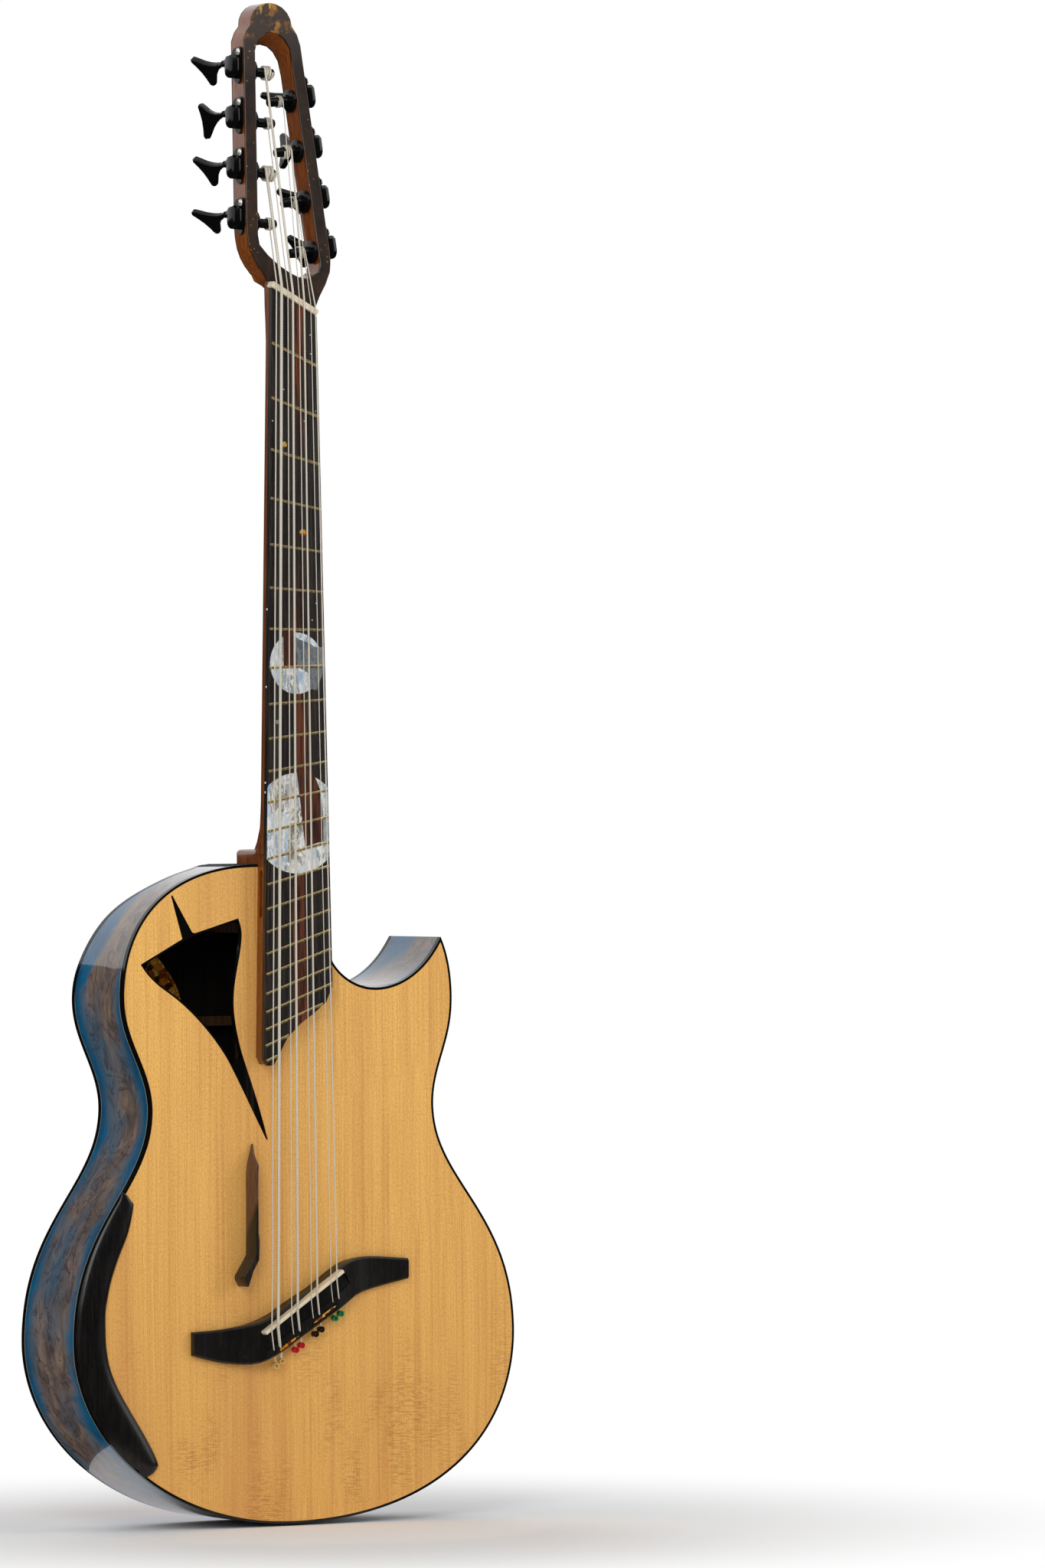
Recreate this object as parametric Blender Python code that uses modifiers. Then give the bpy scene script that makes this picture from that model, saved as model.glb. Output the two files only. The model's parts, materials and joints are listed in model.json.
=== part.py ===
"""Acoustic bass guitar with eight strings in four courses, as an assembly of separate solids.

Metres, +Z up along the neck. X is zero on the neck's centre line and positive on the
treble side, Y is zero on the front face of the soundboard and positive towards the back,
and Z is zero at the middle of the nut.
"""
import math

import bmesh
import bpy
from mathutils import Matrix, Vector
from mathutils.geometry import delaunay_2d_cdt

# Clearances
GAP = 0.0003
PLAY = 0.0004

# Scale, nut and fretboard
SCALE_BASS = 0.8650
SCALE_TREBLE = 0.7973
NUT_SLANT = 0.0118
NUT_HALF_WIDTH = 0.0216
BOARD_END_HALF_WIDTH = 0.0338
BOARD_END_Z = -0.6400
BOARD_END_LENGTH = 0.0840
BOARD_TAPER_LENGTH = 0.6363
BOARD_TOP = -0.0165
BOARD_THICKNESS = 0.0050
FRET_COUNT = 24
FRET_WIDTH = 0.0024
FRET_HEIGHT = 0.0011
NUT_THICKNESS = 0.0050
NUT_TOP = -0.0190

# Neck
NECK_DEPTH_NUT = 0.0165
NECK_DEPTH_HEEL = 0.0205
NECK_EDGE_INSET = 0.0004
HEEL_HEIGHT = 0.0120
HEEL_BASS = 0.0285
HEEL_TREBLE = 0.0312
HEEL_BACK = 0.0420
HEEL_CORNER = 0.0070
HEEL_ROUND = 0.0030
RISER_INSET = 0.0012
RISER_SLOT_LENGTH = 0.0400
RISER_SLOT_HEIGHT = 0.0050
RISER_SLOT_DEPTH = 0.0080
ROD_WIDTH = 0.0054
ROD_DEPTH = 0.0080
ROD_TOP_Z = -0.0060
ROD_LENGTH = 0.4540

# Headstock
HEAD_TOP = 0.2492
DOME_Z = 0.2300
DOME_HALF = 0.0198
HEAD_SLOPE = 0.127
HEAD_THICKNESS = 0.0225
VENEER = 0.0015
RAIL_WIDTH = 0.0108
RAIL_BASS_FOOT = 0.0386
RAIL_TREBLE_FOOT = 0.0407
RAIL_FOOT_Z = 0.0420
RAIL_TAPER_BASS = 0.062
RAIL_TAPER_TREBLE = 0.080
WINDOW_FOOT_Z = 0.0170
WINDOW_TOP_Z = 0.2240
WINDOW_TOP_DROP = 0.0090

# Body outline
SHOULDER_Z = -0.4720
SHOULDER_HALF = 0.0320
UPPER_BASS = 0.1600
UPPER_BASS_Z = -0.5820
UPPER_TREBLE = 0.1585
UPPER_TREBLE_Z = -0.5880
WAIST_BASS = 0.1330
WAIST_TREBLE = 0.1390
WAIST_Z = -0.6770
LOWER_BASS = 0.2060
LOWER_TREBLE = 0.2180
LOWER_Z = -0.8660
TAIL_Z = -1.0238
HORN_X = 0.1480
HORN_Z = -0.5350
CUT_X = 0.0370
CUT_WALL_Z = -0.5380
CUT_LOW_X = 0.0840
CUT_LOW_Z = -0.5770
ROUND = 0.5523
SHOULDER_ROUND = (0.66, 0.58)
TREBLE_TAIL_ROUND = (0.62, 0.61)
WAIST_PULL = 0.33
LOWER_PULL = 0.52

# Body build
DEPTH_NECK = 0.0840
DEPTH_TAIL = 0.0990
TOP_THICKNESS = 0.0030
BACK_THICKNESS = 0.0032
SIDE_THICKNESS = 0.0022
BINDING_WIDTH = 0.0018
BINDING_DEPTH = 0.0048
LINING_WIDTH = 0.0060
LINING_DEPTH = 0.0130
BLOCK_LENGTH = 0.0550
TAIL_BLOCK_HALF = 0.0420
TAIL_BLOCK_LENGTH = 0.0260
BRACE_WIDTH = 0.0080
BRACE_HEIGHT = 0.0110
STRIP_THICKNESS = 0.0030

# Sound hole, a leaning shield with a solid spike above it and a solid tail below it
HOLE_LEFT = (-0.1416, -0.5543)
HOLE_RIGHT = (-0.0485, -0.5172)
HOLE_CORNER = (-0.0452, -0.5260)
HOLE_WAIST = (-0.0538, -0.5860)
HOLE_BELLY = (-0.1179, -0.5764)
HOLE_FOOT_RIGHT = (-0.0450, -0.6330)
HOLE_FOOT_LEFT = (-0.0555, -0.6402)
SPIKE_LEFT = (-0.1018, -0.5336)
SPIKE_RIGHT = (-0.0919, -0.5296)
SPIKE_TIP = (-0.1118, -0.4974)
TAIL_TIP = (-0.0223, -0.7018)
TAIL_BEND = (-0.0307, -0.6707)
TIP_WIDTH = 0.0010
HOLE_RIM = 0.0014

# Sound port at the bass shoulder of the back
PORT_END_X = -0.1585
PORT_END_Z = -0.5700
PORT_MID_X = -0.0800
PORT_MID_Z = -0.5230
PORT_VANES = 6
PORT_VANE_WIDTH = 0.0030
PORT_SLOTS_SHARE = 0.9660
PORT_VANE_FIRST_X = -0.0520
PORT_VANE_DEPTH = 0.0110
PORT_BORDER = 0.0035
PORT_DIP = 0.0420
PORT_DIP_REACH = 0.0360
PORT_DIP_FADE_START = -0.1000
PORT_DIP_FADE_END = -0.1430
PORT_DIP_FADE = 0.50
PORT_RELIEF = 0.0045

# Bridge and saddle
SADDLE_BASS_X = -0.0364
SADDLE_BASS_Z = -0.8626
SADDLE_TREBLE_X = 0.0390
SADDLE_TREBLE_Z = -0.8127
SADDLE_THICKNESS = 0.0032
SADDLE_TOP = -0.0212
SADDLE_SLOT_DEPTH = 0.0050
BRIDGE_HEIGHT = 0.0140
BRIDGE_WING = 0.0055
BRIDGE_EDGE = 0.0016
WELL_WIDTH = 0.0118
WELL_DEPTH = 0.0040
WELL_BEHIND = 0.0097
WELL_EXTRA = 0.0040
BRIDGE_PLATE_THICKNESS = 0.0030

# Thumb rest and arm rest
THUMB_HEIGHT = 0.0180
THUMB_TIP_HEIGHT = 0.0014
THUMB_RISE = 0.0165
THUMB_ROUND = 0.0004
ARM_HEIGHT = 0.0062
ARM_EDGE_HEIGHT = 0.0012
ARM_OVERHANG = 0.0002
ARM_TOP = 0.1260
ARM_LOW = 0.1200
ARM_END = 0.0760

# Strings: bass to treble, each course holds an octave string and its main string
COURSE_MAIN = (0.0025, 0.0020, 0.0016, 0.0012)
COURSE_OCTAVE = (0.0011, 0.0009, 0.0008, 0.0007)
COURSE_PITCH_NUT = 0.0110
COURSE_PITCH_SADDLE = 0.0191
PAIR_PITCH_NUT = 0.0044
PAIR_PITCH_SADDLE = 0.0056
BALL_RADIUS = 0.0025
BALL_LENGTH = 0.0050
BALL_SHIFT = (0.0132, -0.0325)
BALL_Y = -0.0052
TURNS_MAIN = 3
TURNS_OCTAVE = 3
TURN_POINTS = 12
TURN_GAP = 0.00050
WRAP_BASS = 0.0160
WRAP_TREBLE = 0.0125

# Tuning machines
TUNER_PITCH = 0.0424
TUNER_FIRST_BASS = 0.0647
TUNER_FIRST_TREBLE = 0.0411
POST_BEHIND_FACE = 0.0105
POST_RADIUS = 0.0040
POST_REACH = 0.0225
POST_SLOT = 0.0022
BUSH_WALL = 0.0014
FLANGE_RADIUS = 0.0100
FLANGE_THICKNESS = 0.0026
PLATE_THICKNESS = 0.0018
PLATE_HALF_WIDTH = 0.0084
PLATE_TOP = 0.0190
PLATE_BOTTOM = 0.0118
COVER_THICKNESS = 0.0096
COVER_WALL = 0.0010
COVER_ROUND = 0.0018
GEAR_RADIUS = 0.0050
GEAR_THICKNESS = 0.0036
GEAR_TEETH = 20
GEAR_TOOTH = 0.0007
WORM_RADIUS = 0.0024
WORM_LENGTH = 0.0100
SHAFT_RADIUS = 0.0019
BOSS_RADIUS = 0.0034
BOSS_END = 0.0125
SCREW_RADIUS = 0.0030
SCREW_HEIGHT = 0.0014
SCREW_FORWARD = 0.0038
KEY_START = 0.0225
KEY_LENGTH = 0.0310
KEY_HALF_HEIGHT = 0.0152
KEY_THICKNESS = 0.0052
KEY_NECK = 0.0030
KEY_TURNS_BASS = (-58, -44, -12, -46)
KEY_TURNS_TREBLE = (-25, -45, 10, -64)

# End plug
PLUG_RADIUS = 0.0060
PLUG_LENGTH = 0.0200
PLUG_FLANGE_RADIUS = 0.0085
PLUG_FLANGE = 0.0008

# Amber inlay in the back, a sprig of leaves on a curved stem
STEM_FOOT = (0.0950, -0.9300)
STEM_TOP = (-0.0560, -0.6300)
STEM_BOW = 0.0160
STEM_WIDTH = 0.0070
LEAF_LENGTH = 0.1150
LEAF_WIDTH = 0.0420
LEAVES = ((0.16, 58), (0.34, -56), (0.52, 55), (0.68, -54), (0.82, 54))

BOARD_BOTTOM = BOARD_TOP + BOARD_THICKNESS
HEAD_FACE = BOARD_BOTTOM
FRET_TOP = BOARD_TOP - FRET_HEIGHT

for stale in list(bpy.data.objects):
    bpy.data.objects.remove(stale, do_unlink=True)

PARTS = bpy.data.collections.new("AcousticBassGuitar")
CUTTERS = bpy.data.collections.new("Cutters")
bpy.context.scene.collection.children.link(PARTS)
bpy.context.scene.collection.children.link(CUTTERS)


def finish_material(name, colour, roughness, metallic=0.0):
    """A Principled material in the part's own colour."""
    mat = bpy.data.materials.new(name)
    mat.use_nodes = True
    shader = mat.node_tree.nodes["Principled BSDF"]
    shader.inputs["Base Color"].default_value = (*colour, 1.0)
    shader.inputs["Roughness"].default_value = roughness
    shader.inputs["Metallic"].default_value = metallic
    mat.diffuse_color = (*colour, 1.0)
    return mat


EBONY = finish_material("ebony", (0.02, 0.018, 0.016), 0.35)
SPRUCE = finish_material("soundboard_wood", (0.78, 0.50, 0.20), 0.30)
BURL = finish_material("blue_burl", (0.05, 0.20, 0.42), 0.12)
MAHOGANY = finish_material("neck_wood", (0.30, 0.12, 0.05), 0.25)
PALE_WOOD = finish_material("inner_wood", (0.70, 0.55, 0.36), 0.60)
BLACK_TRIM = finish_material("black_binding", (0.015, 0.015, 0.016), 0.20)
BONE = finish_material("bone", (0.90, 0.85, 0.72), 0.40)
AMBER = finish_material("amber", (0.75, 0.32, 0.03), 0.12)
FLECKED = finish_material("flecked_veneer", (0.10, 0.06, 0.03), 0.18)
TUNER_BLACK = finish_material("tuner_black", (0.02, 0.02, 0.022), 0.22, 0.4)
STEEL = finish_material("steel", (0.55, 0.56, 0.58), 0.30, 1.0)
STRING_STEEL = finish_material("string_steel", (0.75, 0.73, 0.68), 0.28, 1.0)


def place(obj, mat, collection=PARTS):
    """Link an object to its collection and give it its material."""
    collection.objects.link(obj)
    if mat is not None:
        obj.data.materials.clear()
        obj.data.materials.append(mat)
    if collection is CUTTERS:
        obj.hide_render = True
        obj.display_type = "WIRE"
    return obj


def mesh_object(name, bm, mat, collection=PARTS, smooth=True):
    """Turn a bmesh into an object with its faces pointing out."""
    bmesh.ops.recalc_face_normals(bm, faces=bm.faces)
    mesh = bpy.data.meshes.new(name)
    bm.to_mesh(mesh)
    bm.free()
    if smooth:
        mesh.shade_smooth()
        mesh.set_sharp_from_angle(angle=math.radians(35))
    return place(bpy.data.objects.new(name, mesh), mat, collection)


def boolean(obj, other, operation="DIFFERENCE"):
    """Cut or join one object with another."""
    mod = obj.modifiers.new(operation.lower(), "BOOLEAN")
    mod.object = other
    mod.operation = operation
    return obj


def baked(obj):
    """Replace an object's mesh by its evaluated one and drop its modifiers."""
    view = bpy.context.evaluated_depsgraph_get()
    mesh = bpy.data.meshes.new_from_object(obj.evaluated_get(view))
    obj.modifiers.clear()
    obj.data = mesh
    return obj


def bezier(start, start_handle, end_handle, end, count):
    """Points of a cubic arc, without its end point."""
    points = []
    for step in range(count):
        t = step / count
        s = 1.0 - t
        weights = (s * s * s, 3 * s * s * t, 3 * s * t * t, t * t * t)
        corners = (start, start_handle, end_handle, end)
        x = sum(w * c[0] for w, c in zip(weights, corners))
        z = sum(w * c[1] for w, c in zip(weights, corners))
        points.append((x, z))
    return points


def lerp(a, b, t):
    return a + (b - a) * t


def smoothstep(t):
    t = min(max(t, 0.0), 1.0)
    return t * t * (3.0 - 2.0 * t)


def curve_value(stations, x):
    """Smooth value at x through a short list of (x, value) stations."""
    if x <= stations[0][0]:
        return stations[0][1]
    last = len(stations) - 1
    for i in range(last):
        x0, v0 = stations[i]
        x1, v1 = stations[i + 1]
        if x <= x1:
            before = stations[max(i - 1, 0)]
            after = stations[min(i + 2, last)]
            m0 = (v1 - before[1]) / (x1 - before[0])
            m1 = (after[1] - v0) / (after[0] - x0)
            h = x1 - x0
            t = (x - x0) / h
            return ((2 * t ** 3 - 3 * t ** 2 + 1) * v0 + (t ** 3 - 2 * t ** 2 + t) * h * m0
                    + (3 * t ** 2 - 2 * t ** 3) * v1 + (t ** 3 - t ** 2) * h * m1)
    return stations[last][1]


def area_of(loop):
    total = 0.0
    for (x0, z0), (x1, z1) in zip(loop, loop[1:] + loop[:1]):
        total += x0 * z1 - x1 * z0
    return total / 2.0


def distance_to_loop(point, loop):
    px, pz = point
    best = 1.0
    for (x0, z0), (x1, z1) in zip(loop, loop[1:] + loop[:1]):
        dx, dz = x1 - x0, z1 - z0
        length2 = dx * dx + dz * dz
        if length2 < 1e-14:
            continue
        t = min(max(((px - x0) * dx + (pz - z0) * dz) / length2, 0.0), 1.0)
        best = min(best, math.hypot(px - x0 - t * dx, pz - z0 - t * dz))
    return best


def inset(loop, distance):
    """A closed outline moved inwards, or outwards where the distance is negative."""
    turn = 1.0 if area_of(loop) > 0 else -1.0
    moved = []
    count = len(loop)
    for i in range(count):
        before = Vector(loop[i - 1])
        here = Vector(loop[i])
        after = Vector(loop[(i + 1) % count])
        first = (here - before).normalized()
        second = (after - here).normalized()
        n1 = Vector((-first.y, first.x)) * turn
        n2 = Vector((-second.y, second.x)) * turn
        middle = (n1 + n2).normalized()
        stretch = 1.0 / max(middle.dot(n1), 0.45)
        point = here + middle * distance * stretch
        if distance_to_loop((point.x, point.y), loop) > abs(distance) * 0.97:
            moved.append((point.x, point.y))
    return moved


def inside(point, loop):
    x, z = point
    odd = False
    for (x0, z0), (x1, z1) in zip(loop, loop[1:] + loop[:1]):
        if (z0 > z) != (z1 > z) and x < (x1 - x0) * (z - z0) / (z1 - z0) + x0:
            odd = not odd
    return odd


def depth_at(z):
    """Depth of the body, which grows from the neck to the tail."""
    return lerp(DEPTH_NECK, DEPTH_TAIL, (z - SHOULDER_Z) / (TAIL_Z - SHOULDER_Z))


def port_dip(x, z, extra=0.0):
    """How far the back edge is let down at a point beyond the sound port's S edge."""
    if x > -SHOULDER_HALF or z < PORT_END_Z:
        return 0.0
    best = None
    for (x0, z0), (x1, z1) in zip(PORT_EDGE, PORT_EDGE[1:]):
        dx, dz = x1 - x0, z1 - z0
        t = min(max(((x - x0) * dx + (z - z0) * dz) / (dx * dx + dz * dz), 0.0), 1.0)
        away = math.hypot(x - x0 - t * dx, z - z0 - t * dz)
        if best is None or away < best[0]:
            best = (away, dx * (z - z0) - dz * (x - x0))
    if best[1] > 0:
        return 0.0
    ease = smoothstep((-SHOULDER_HALF - x) / (PORT_DIP_REACH / 2))
    outwards = (x - PORT_DIP_FADE_START) / (PORT_DIP_FADE_END - PORT_DIP_FADE_START)
    fade = 1.0 - PORT_DIP_FADE * smoothstep(outwards)
    share = min(best[0] / PORT_DIP_REACH, 1.0) + extra / PORT_DIP_REACH
    return PORT_DIP * share * ease * fade


def head_face_at(z):
    return HEAD_FACE + HEAD_SLOPE * z


def plate(name, loops, front, back, mat, collection=PARTS):
    """A flat outline with holes, given a front and a back that may be functions of x and z."""
    points = []
    edges = []
    for loop in loops:
        first = len(points)
        points += [Vector(point) for point in loop]
        edges += [(first + k, first + (k + 1) % len(loop)) for k in range(len(loop))]
    flat, _, triangles, _, _, _ = delaunay_2d_cdt(points, edges, [], 1, 1e-8)
    bm = bmesh.new()
    layers = []
    for level in (front, back):
        layers.append([bm.verts.new((x, level(x, z) if callable(level) else level, z)) for x, z in flat])
    uses = {}
    for triangle in triangles:
        middle = sum((flat[k] for k in triangle), Vector((0.0, 0.0))) / 3
        if sum(inside(middle, loop) for loop in loops) % 2 == 0:
            continue
        for layer in layers:
            bm.faces.new([layer[k] for k in triangle])
        for pair in zip(triangle, triangle[1:] + triangle[:1]):
            uses.setdefault(frozenset(pair), []).append(pair)
    for pairs in uses.values():
        if len(pairs) == 1:
            a, b = pairs[0]
            bm.faces.new((layers[0][a], layers[0][b], layers[1][b], layers[1][a]))
    bmesh.ops.delete(bm, geom=[vert for vert in bm.verts if not vert.link_faces], context="VERTS")
    return mesh_object(name, bm, mat, collection)


def loft(name, rings, mat, collection=PARTS, smooth=True):
    """A closed solid through rings of points, with flat ends."""
    bm = bmesh.new()
    rows = [[bm.verts.new(point) for point in ring] for ring in rings]
    for lower, upper in zip(rows, rows[1:]):
        for i in range(len(lower)):
            j = (i + 1) % len(lower)
            bm.faces.new((lower[i], lower[j], upper[j], upper[i]))
    bm.faces.new(rows[0])
    bm.faces.new(rows[-1])
    return mesh_object(name, bm, mat, collection, smooth)


def box(name, low, high, mat=None, collection=CUTTERS):
    bm = bmesh.new()
    bmesh.ops.create_cube(bm, size=1.0)
    for vert in bm.verts:
        vert.co = [lerp(low[k], high[k], vert.co[k] + 0.5) for k in range(3)]
    return mesh_object(name, bm, mat, collection, smooth=False)


def turned(name, profile, axis, sides, mat, collection=CUTTERS):
    """A round solid from (distance along the axis, radius) pairs, along x, y or z."""
    rings = []
    for along, radius in profile:
        ring = []
        for k in range(sides):
            angle = 2 * math.pi * (k + 0.5) / sides
            a, b = radius * math.cos(angle), radius * math.sin(angle)
            ring.append({"x": (along, a, b), "y": (b, along, a), "z": (a, b, along)}[axis])
        rings.append(ring)
    return loft(name, rings, mat, collection)


def moved(obj, x=0.0, y=0.0, z=0.0):
    obj.data.transform(Matrix.Translation((x, y, z)))
    return obj


def bar(name, start, end, width, front, back, mat, collection=CUTTERS):
    """A straight flat bar between two points of the x, z plane."""
    a, b = Vector(start), Vector(end)
    along = (b - a).normalized()
    side = Vector((-along.y, along.x)) * width / 2
    loop = [tuple(a + side), tuple(b + side), tuple(b - side), tuple(a - side)]
    return plate(name, [loop], front, back, mat, collection)


def joined_cutter(name, pieces):
    """Several cutters in one mesh, as separate bodies of one operand."""
    bm = bmesh.new()
    for piece in pieces:
        bm.from_mesh(piece.data)
        bpy.data.objects.remove(piece, do_unlink=True)
    mesh = bpy.data.meshes.new(name)
    bm.to_mesh(mesh)
    bm.free()
    return place(bpy.data.objects.new(name, mesh), None, CUTTERS)


def quarter(start, end, along_x_first, count, pulls=(ROUND, ROUND)):
    """A quarter round between two points with level and upright tangents."""
    dx, dz = end[0] - start[0], end[1] - start[1]
    if along_x_first:
        handle_a = (start[0] + dx * pulls[0], start[1])
        handle_b = (end[0], end[1] - dz * pulls[1])
    else:
        handle_a = (start[0], start[1] + dz * pulls[0])
        handle_b = (end[0] - dx * pulls[1], end[1])
    return bezier(start, handle_a, handle_b, end, count)


def sway(start, end, pull_a, pull_b, count):
    """An S between two points with upright tangents at both ends."""
    dz = end[1] - start[1]
    return bezier(start, (start[0], start[1] + dz * pull_a),
                  (end[0], end[1] - dz * pull_b), end, count)


SHOULDER_BASS = (-SHOULDER_HALF, SHOULDER_Z)
SHOULDER_TREBLE = (CUT_X, SHOULDER_Z)
UPPER_B = (-UPPER_BASS, UPPER_BASS_Z)
UPPER_T = (UPPER_TREBLE, UPPER_TREBLE_Z)
WAIST_B = (-WAIST_BASS, WAIST_Z)
WAIST_T = (WAIST_TREBLE, WAIST_Z)
LOWER_B = (-LOWER_BASS, LOWER_Z)
LOWER_T = (LOWER_TREBLE, LOWER_Z)
TAIL = (0.0, TAIL_Z)
HORN = (HORN_X, HORN_Z)
CUT_WALL = (CUT_X, CUT_WALL_Z)
CUT_LOW = (CUT_LOW_X, CUT_LOW_Z)


def body_outline():
    """The outline of the body, from the bass shoulder round the tail to the cutaway."""
    shoulder = quarter(SHOULDER_BASS, UPPER_B, True, 12, SHOULDER_ROUND)
    bass = sway(UPPER_B, WAIST_B, 0.40, 0.38, 8)
    bass += sway(WAIST_B, LOWER_B, WAIST_PULL, LOWER_PULL, 10)
    bass += quarter(LOWER_B, TAIL, False, 14)
    treble = quarter(TAIL, LOWER_T, True, 14, TREBLE_TAIL_ROUND)
    treble += sway(LOWER_T, WAIST_T, LOWER_PULL, WAIST_PULL, 10)
    treble += sway(WAIST_T, UPPER_T, 0.38, 0.40, 8)
    horn = bezier(UPPER_T, (UPPER_TREBLE, UPPER_TREBLE_Z + 0.022),
                  (HORN_X + 0.007, HORN_Z - 0.014), HORN, 6)
    cut = bezier(HORN, (HORN_X - 0.014, HORN_Z - 0.026), (CUT_LOW_X + 0.026, CUT_LOW_Z), CUT_LOW, 8)
    cut += bezier(CUT_LOW, (CUT_LOW_X - 0.024, CUT_LOW_Z), (CUT_X, CUT_WALL_Z - 0.020), CUT_WALL, 8)
    wall = [CUT_WALL, SHOULDER_TREBLE]
    return shoulder, bass + treble + horn + cut + wall


def port_edge(count=9):
    """The S edge of the back where the sound port is, from the shoulder to the upper bout."""
    first = bezier(SHOULDER_BASS, (-SHOULDER_HALF - 0.004, SHOULDER_Z - 0.026),
                   (PORT_MID_X + 0.026, PORT_MID_Z + 0.012), (PORT_MID_X, PORT_MID_Z), count)
    second = bezier((PORT_MID_X, PORT_MID_Z), (PORT_MID_X - 0.032, PORT_MID_Z - 0.014),
                    (PORT_END_X + 0.013, PORT_END_Z + 0.018), (PORT_END_X, PORT_END_Z), count)
    return first + second


PORT_EDGE = port_edge() + [(PORT_END_X, PORT_END_Z)]
SHOULDER_ARC, REST_OF_BODY = body_outline()
BODY = SHOULDER_ARC + REST_OF_BODY


def offset(point, dx, dz):
    return point[0] + dx, point[1] + dz


def hole_right():
    """The sound hole's right side, from its upper corner to its foot."""
    upper = bezier(HOLE_CORNER, offset(HOLE_CORNER, 0.0012, -0.0170), offset(HOLE_WAIST, 0.0, 0.0210), HOLE_WAIST, 6)
    lower = bezier(HOLE_WAIST, offset(HOLE_WAIST, 0.0, -0.0160), offset(HOLE_FOOT_RIGHT, -0.0045, 0.0150),
                   HOLE_FOOT_RIGHT, 5)
    return upper + lower + [HOLE_FOOT_RIGHT]


def hole_left():
    """The sound hole's left side, from its foot up to its left tip."""
    lower = bezier(HOLE_FOOT_LEFT, offset(HOLE_FOOT_LEFT, -0.0145, 0.0242), offset(HOLE_BELLY, 0.0229, -0.0136),
                   HOLE_BELLY, 7)
    upper = bezier(HOLE_BELLY, offset(HOLE_BELLY, -0.0096, 0.0057), offset(HOLE_LEFT, 0.0051, -0.0082), HOLE_LEFT, 5)
    return lower + upper + [HOLE_LEFT]


def blunt(point, across):
    """Two points in place of a sharp tip; across is 1 or -1 for the order along x."""
    half = TIP_WIDTH / 2 * across
    return [offset(point, -half, 0.0), offset(point, half, 0.0)]


def hole_outline():
    """The opening of the sound hole, without its spike and tail."""
    return [SPIKE_LEFT, SPIKE_RIGHT, HOLE_RIGHT] + hole_right() + hole_left()


def rosette_outline():
    """The outline of the sound hole's black frame, with its spike and tail."""
    spike = [SPIKE_LEFT] + blunt(SPIKE_TIP, 1) + [SPIKE_RIGHT]
    tail = [TAIL_BEND] + blunt(TAIL_TIP, -1)
    return spike + [HOLE_RIGHT] + hole_right() + tail + hole_left()


def board_half_width(z):
    return lerp(NUT_HALF_WIDTH, BOARD_END_HALF_WIDTH, -z / BOARD_TAPER_LENGTH)


def board_end(grow=0.0):
    """The S end of the fretboard, from the treble edge to the bass edge."""
    shares = ((1.0, 1.0), (0.96, 0.786), (0.784, 0.625), (0.444, 0.518), (0.059, 0.417),
              (-0.325, 0.280), (-0.562, 0.119), (-0.725, 0.006), (-0.888, 0.0))
    points = []
    for across, up in shares:
        x = across * BOARD_END_HALF_WIDTH
        points.append((x - math.copysign(grow, x) * 0.6, BOARD_END_Z + up * BOARD_END_LENGTH + grow))
    return points


def nut_z(x):
    """Height of the nut's middle line at x, which is slanted towards the bass side."""
    return -NUT_SLANT * x / NUT_HALF_WIDTH


def nut_lean():
    """Cosine of the nut's slant."""
    return NUT_HALF_WIDTH / math.hypot(NUT_HALF_WIDTH, NUT_SLANT)


def board_outline(shrink=0.0, top=None):
    """The fretboard's outline, or a smaller one for the wood under it."""
    half_nut = (NUT_THICKNESS / 2 + GAP) / nut_lean()
    end = board_end(shrink)
    bass_x = -board_half_width(end[-1][1] + 0.008) + shrink
    if top is None:
        left = -board_half_width(nut_z(-NUT_HALF_WIDTH)) + shrink
        right = board_half_width(nut_z(NUT_HALF_WIDTH)) - shrink
        start = [(left, nut_z(left) - half_nut), (right, nut_z(right) - half_nut)]
    else:
        start = [(-board_half_width(top) + shrink, top), (board_half_width(top) - shrink, top)]
    treble = (board_half_width(end[0][1]) - shrink, end[0][1])
    return start + [treble] + end[1:] + [(bass_x, end[-1][1] + 0.006)]


def fret_line(number):
    """Bass and treble ends of a fret's line at the edges of the fretboard."""
    share = 1.0 - 2.0 ** (-number / 12.0)
    z_bass = NUT_SLANT - SCALE_BASS * share
    z_treble = -NUT_SLANT - SCALE_TREBLE * share
    return Vector((-board_half_width(z_bass), z_bass)), Vector((board_half_width(z_treble), z_treble))


def rail_outer(z, side):
    """Outer edge of a headstock rail at z; side is -1 for bass and 1 for treble."""
    if side < 0:
        return -(RAIL_BASS_FOOT - RAIL_TAPER_BASS * (z - RAIL_FOOT_Z))
    return RAIL_TREBLE_FOOT - RAIL_TAPER_TREBLE * (z - RAIL_FOOT_Z)


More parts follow.
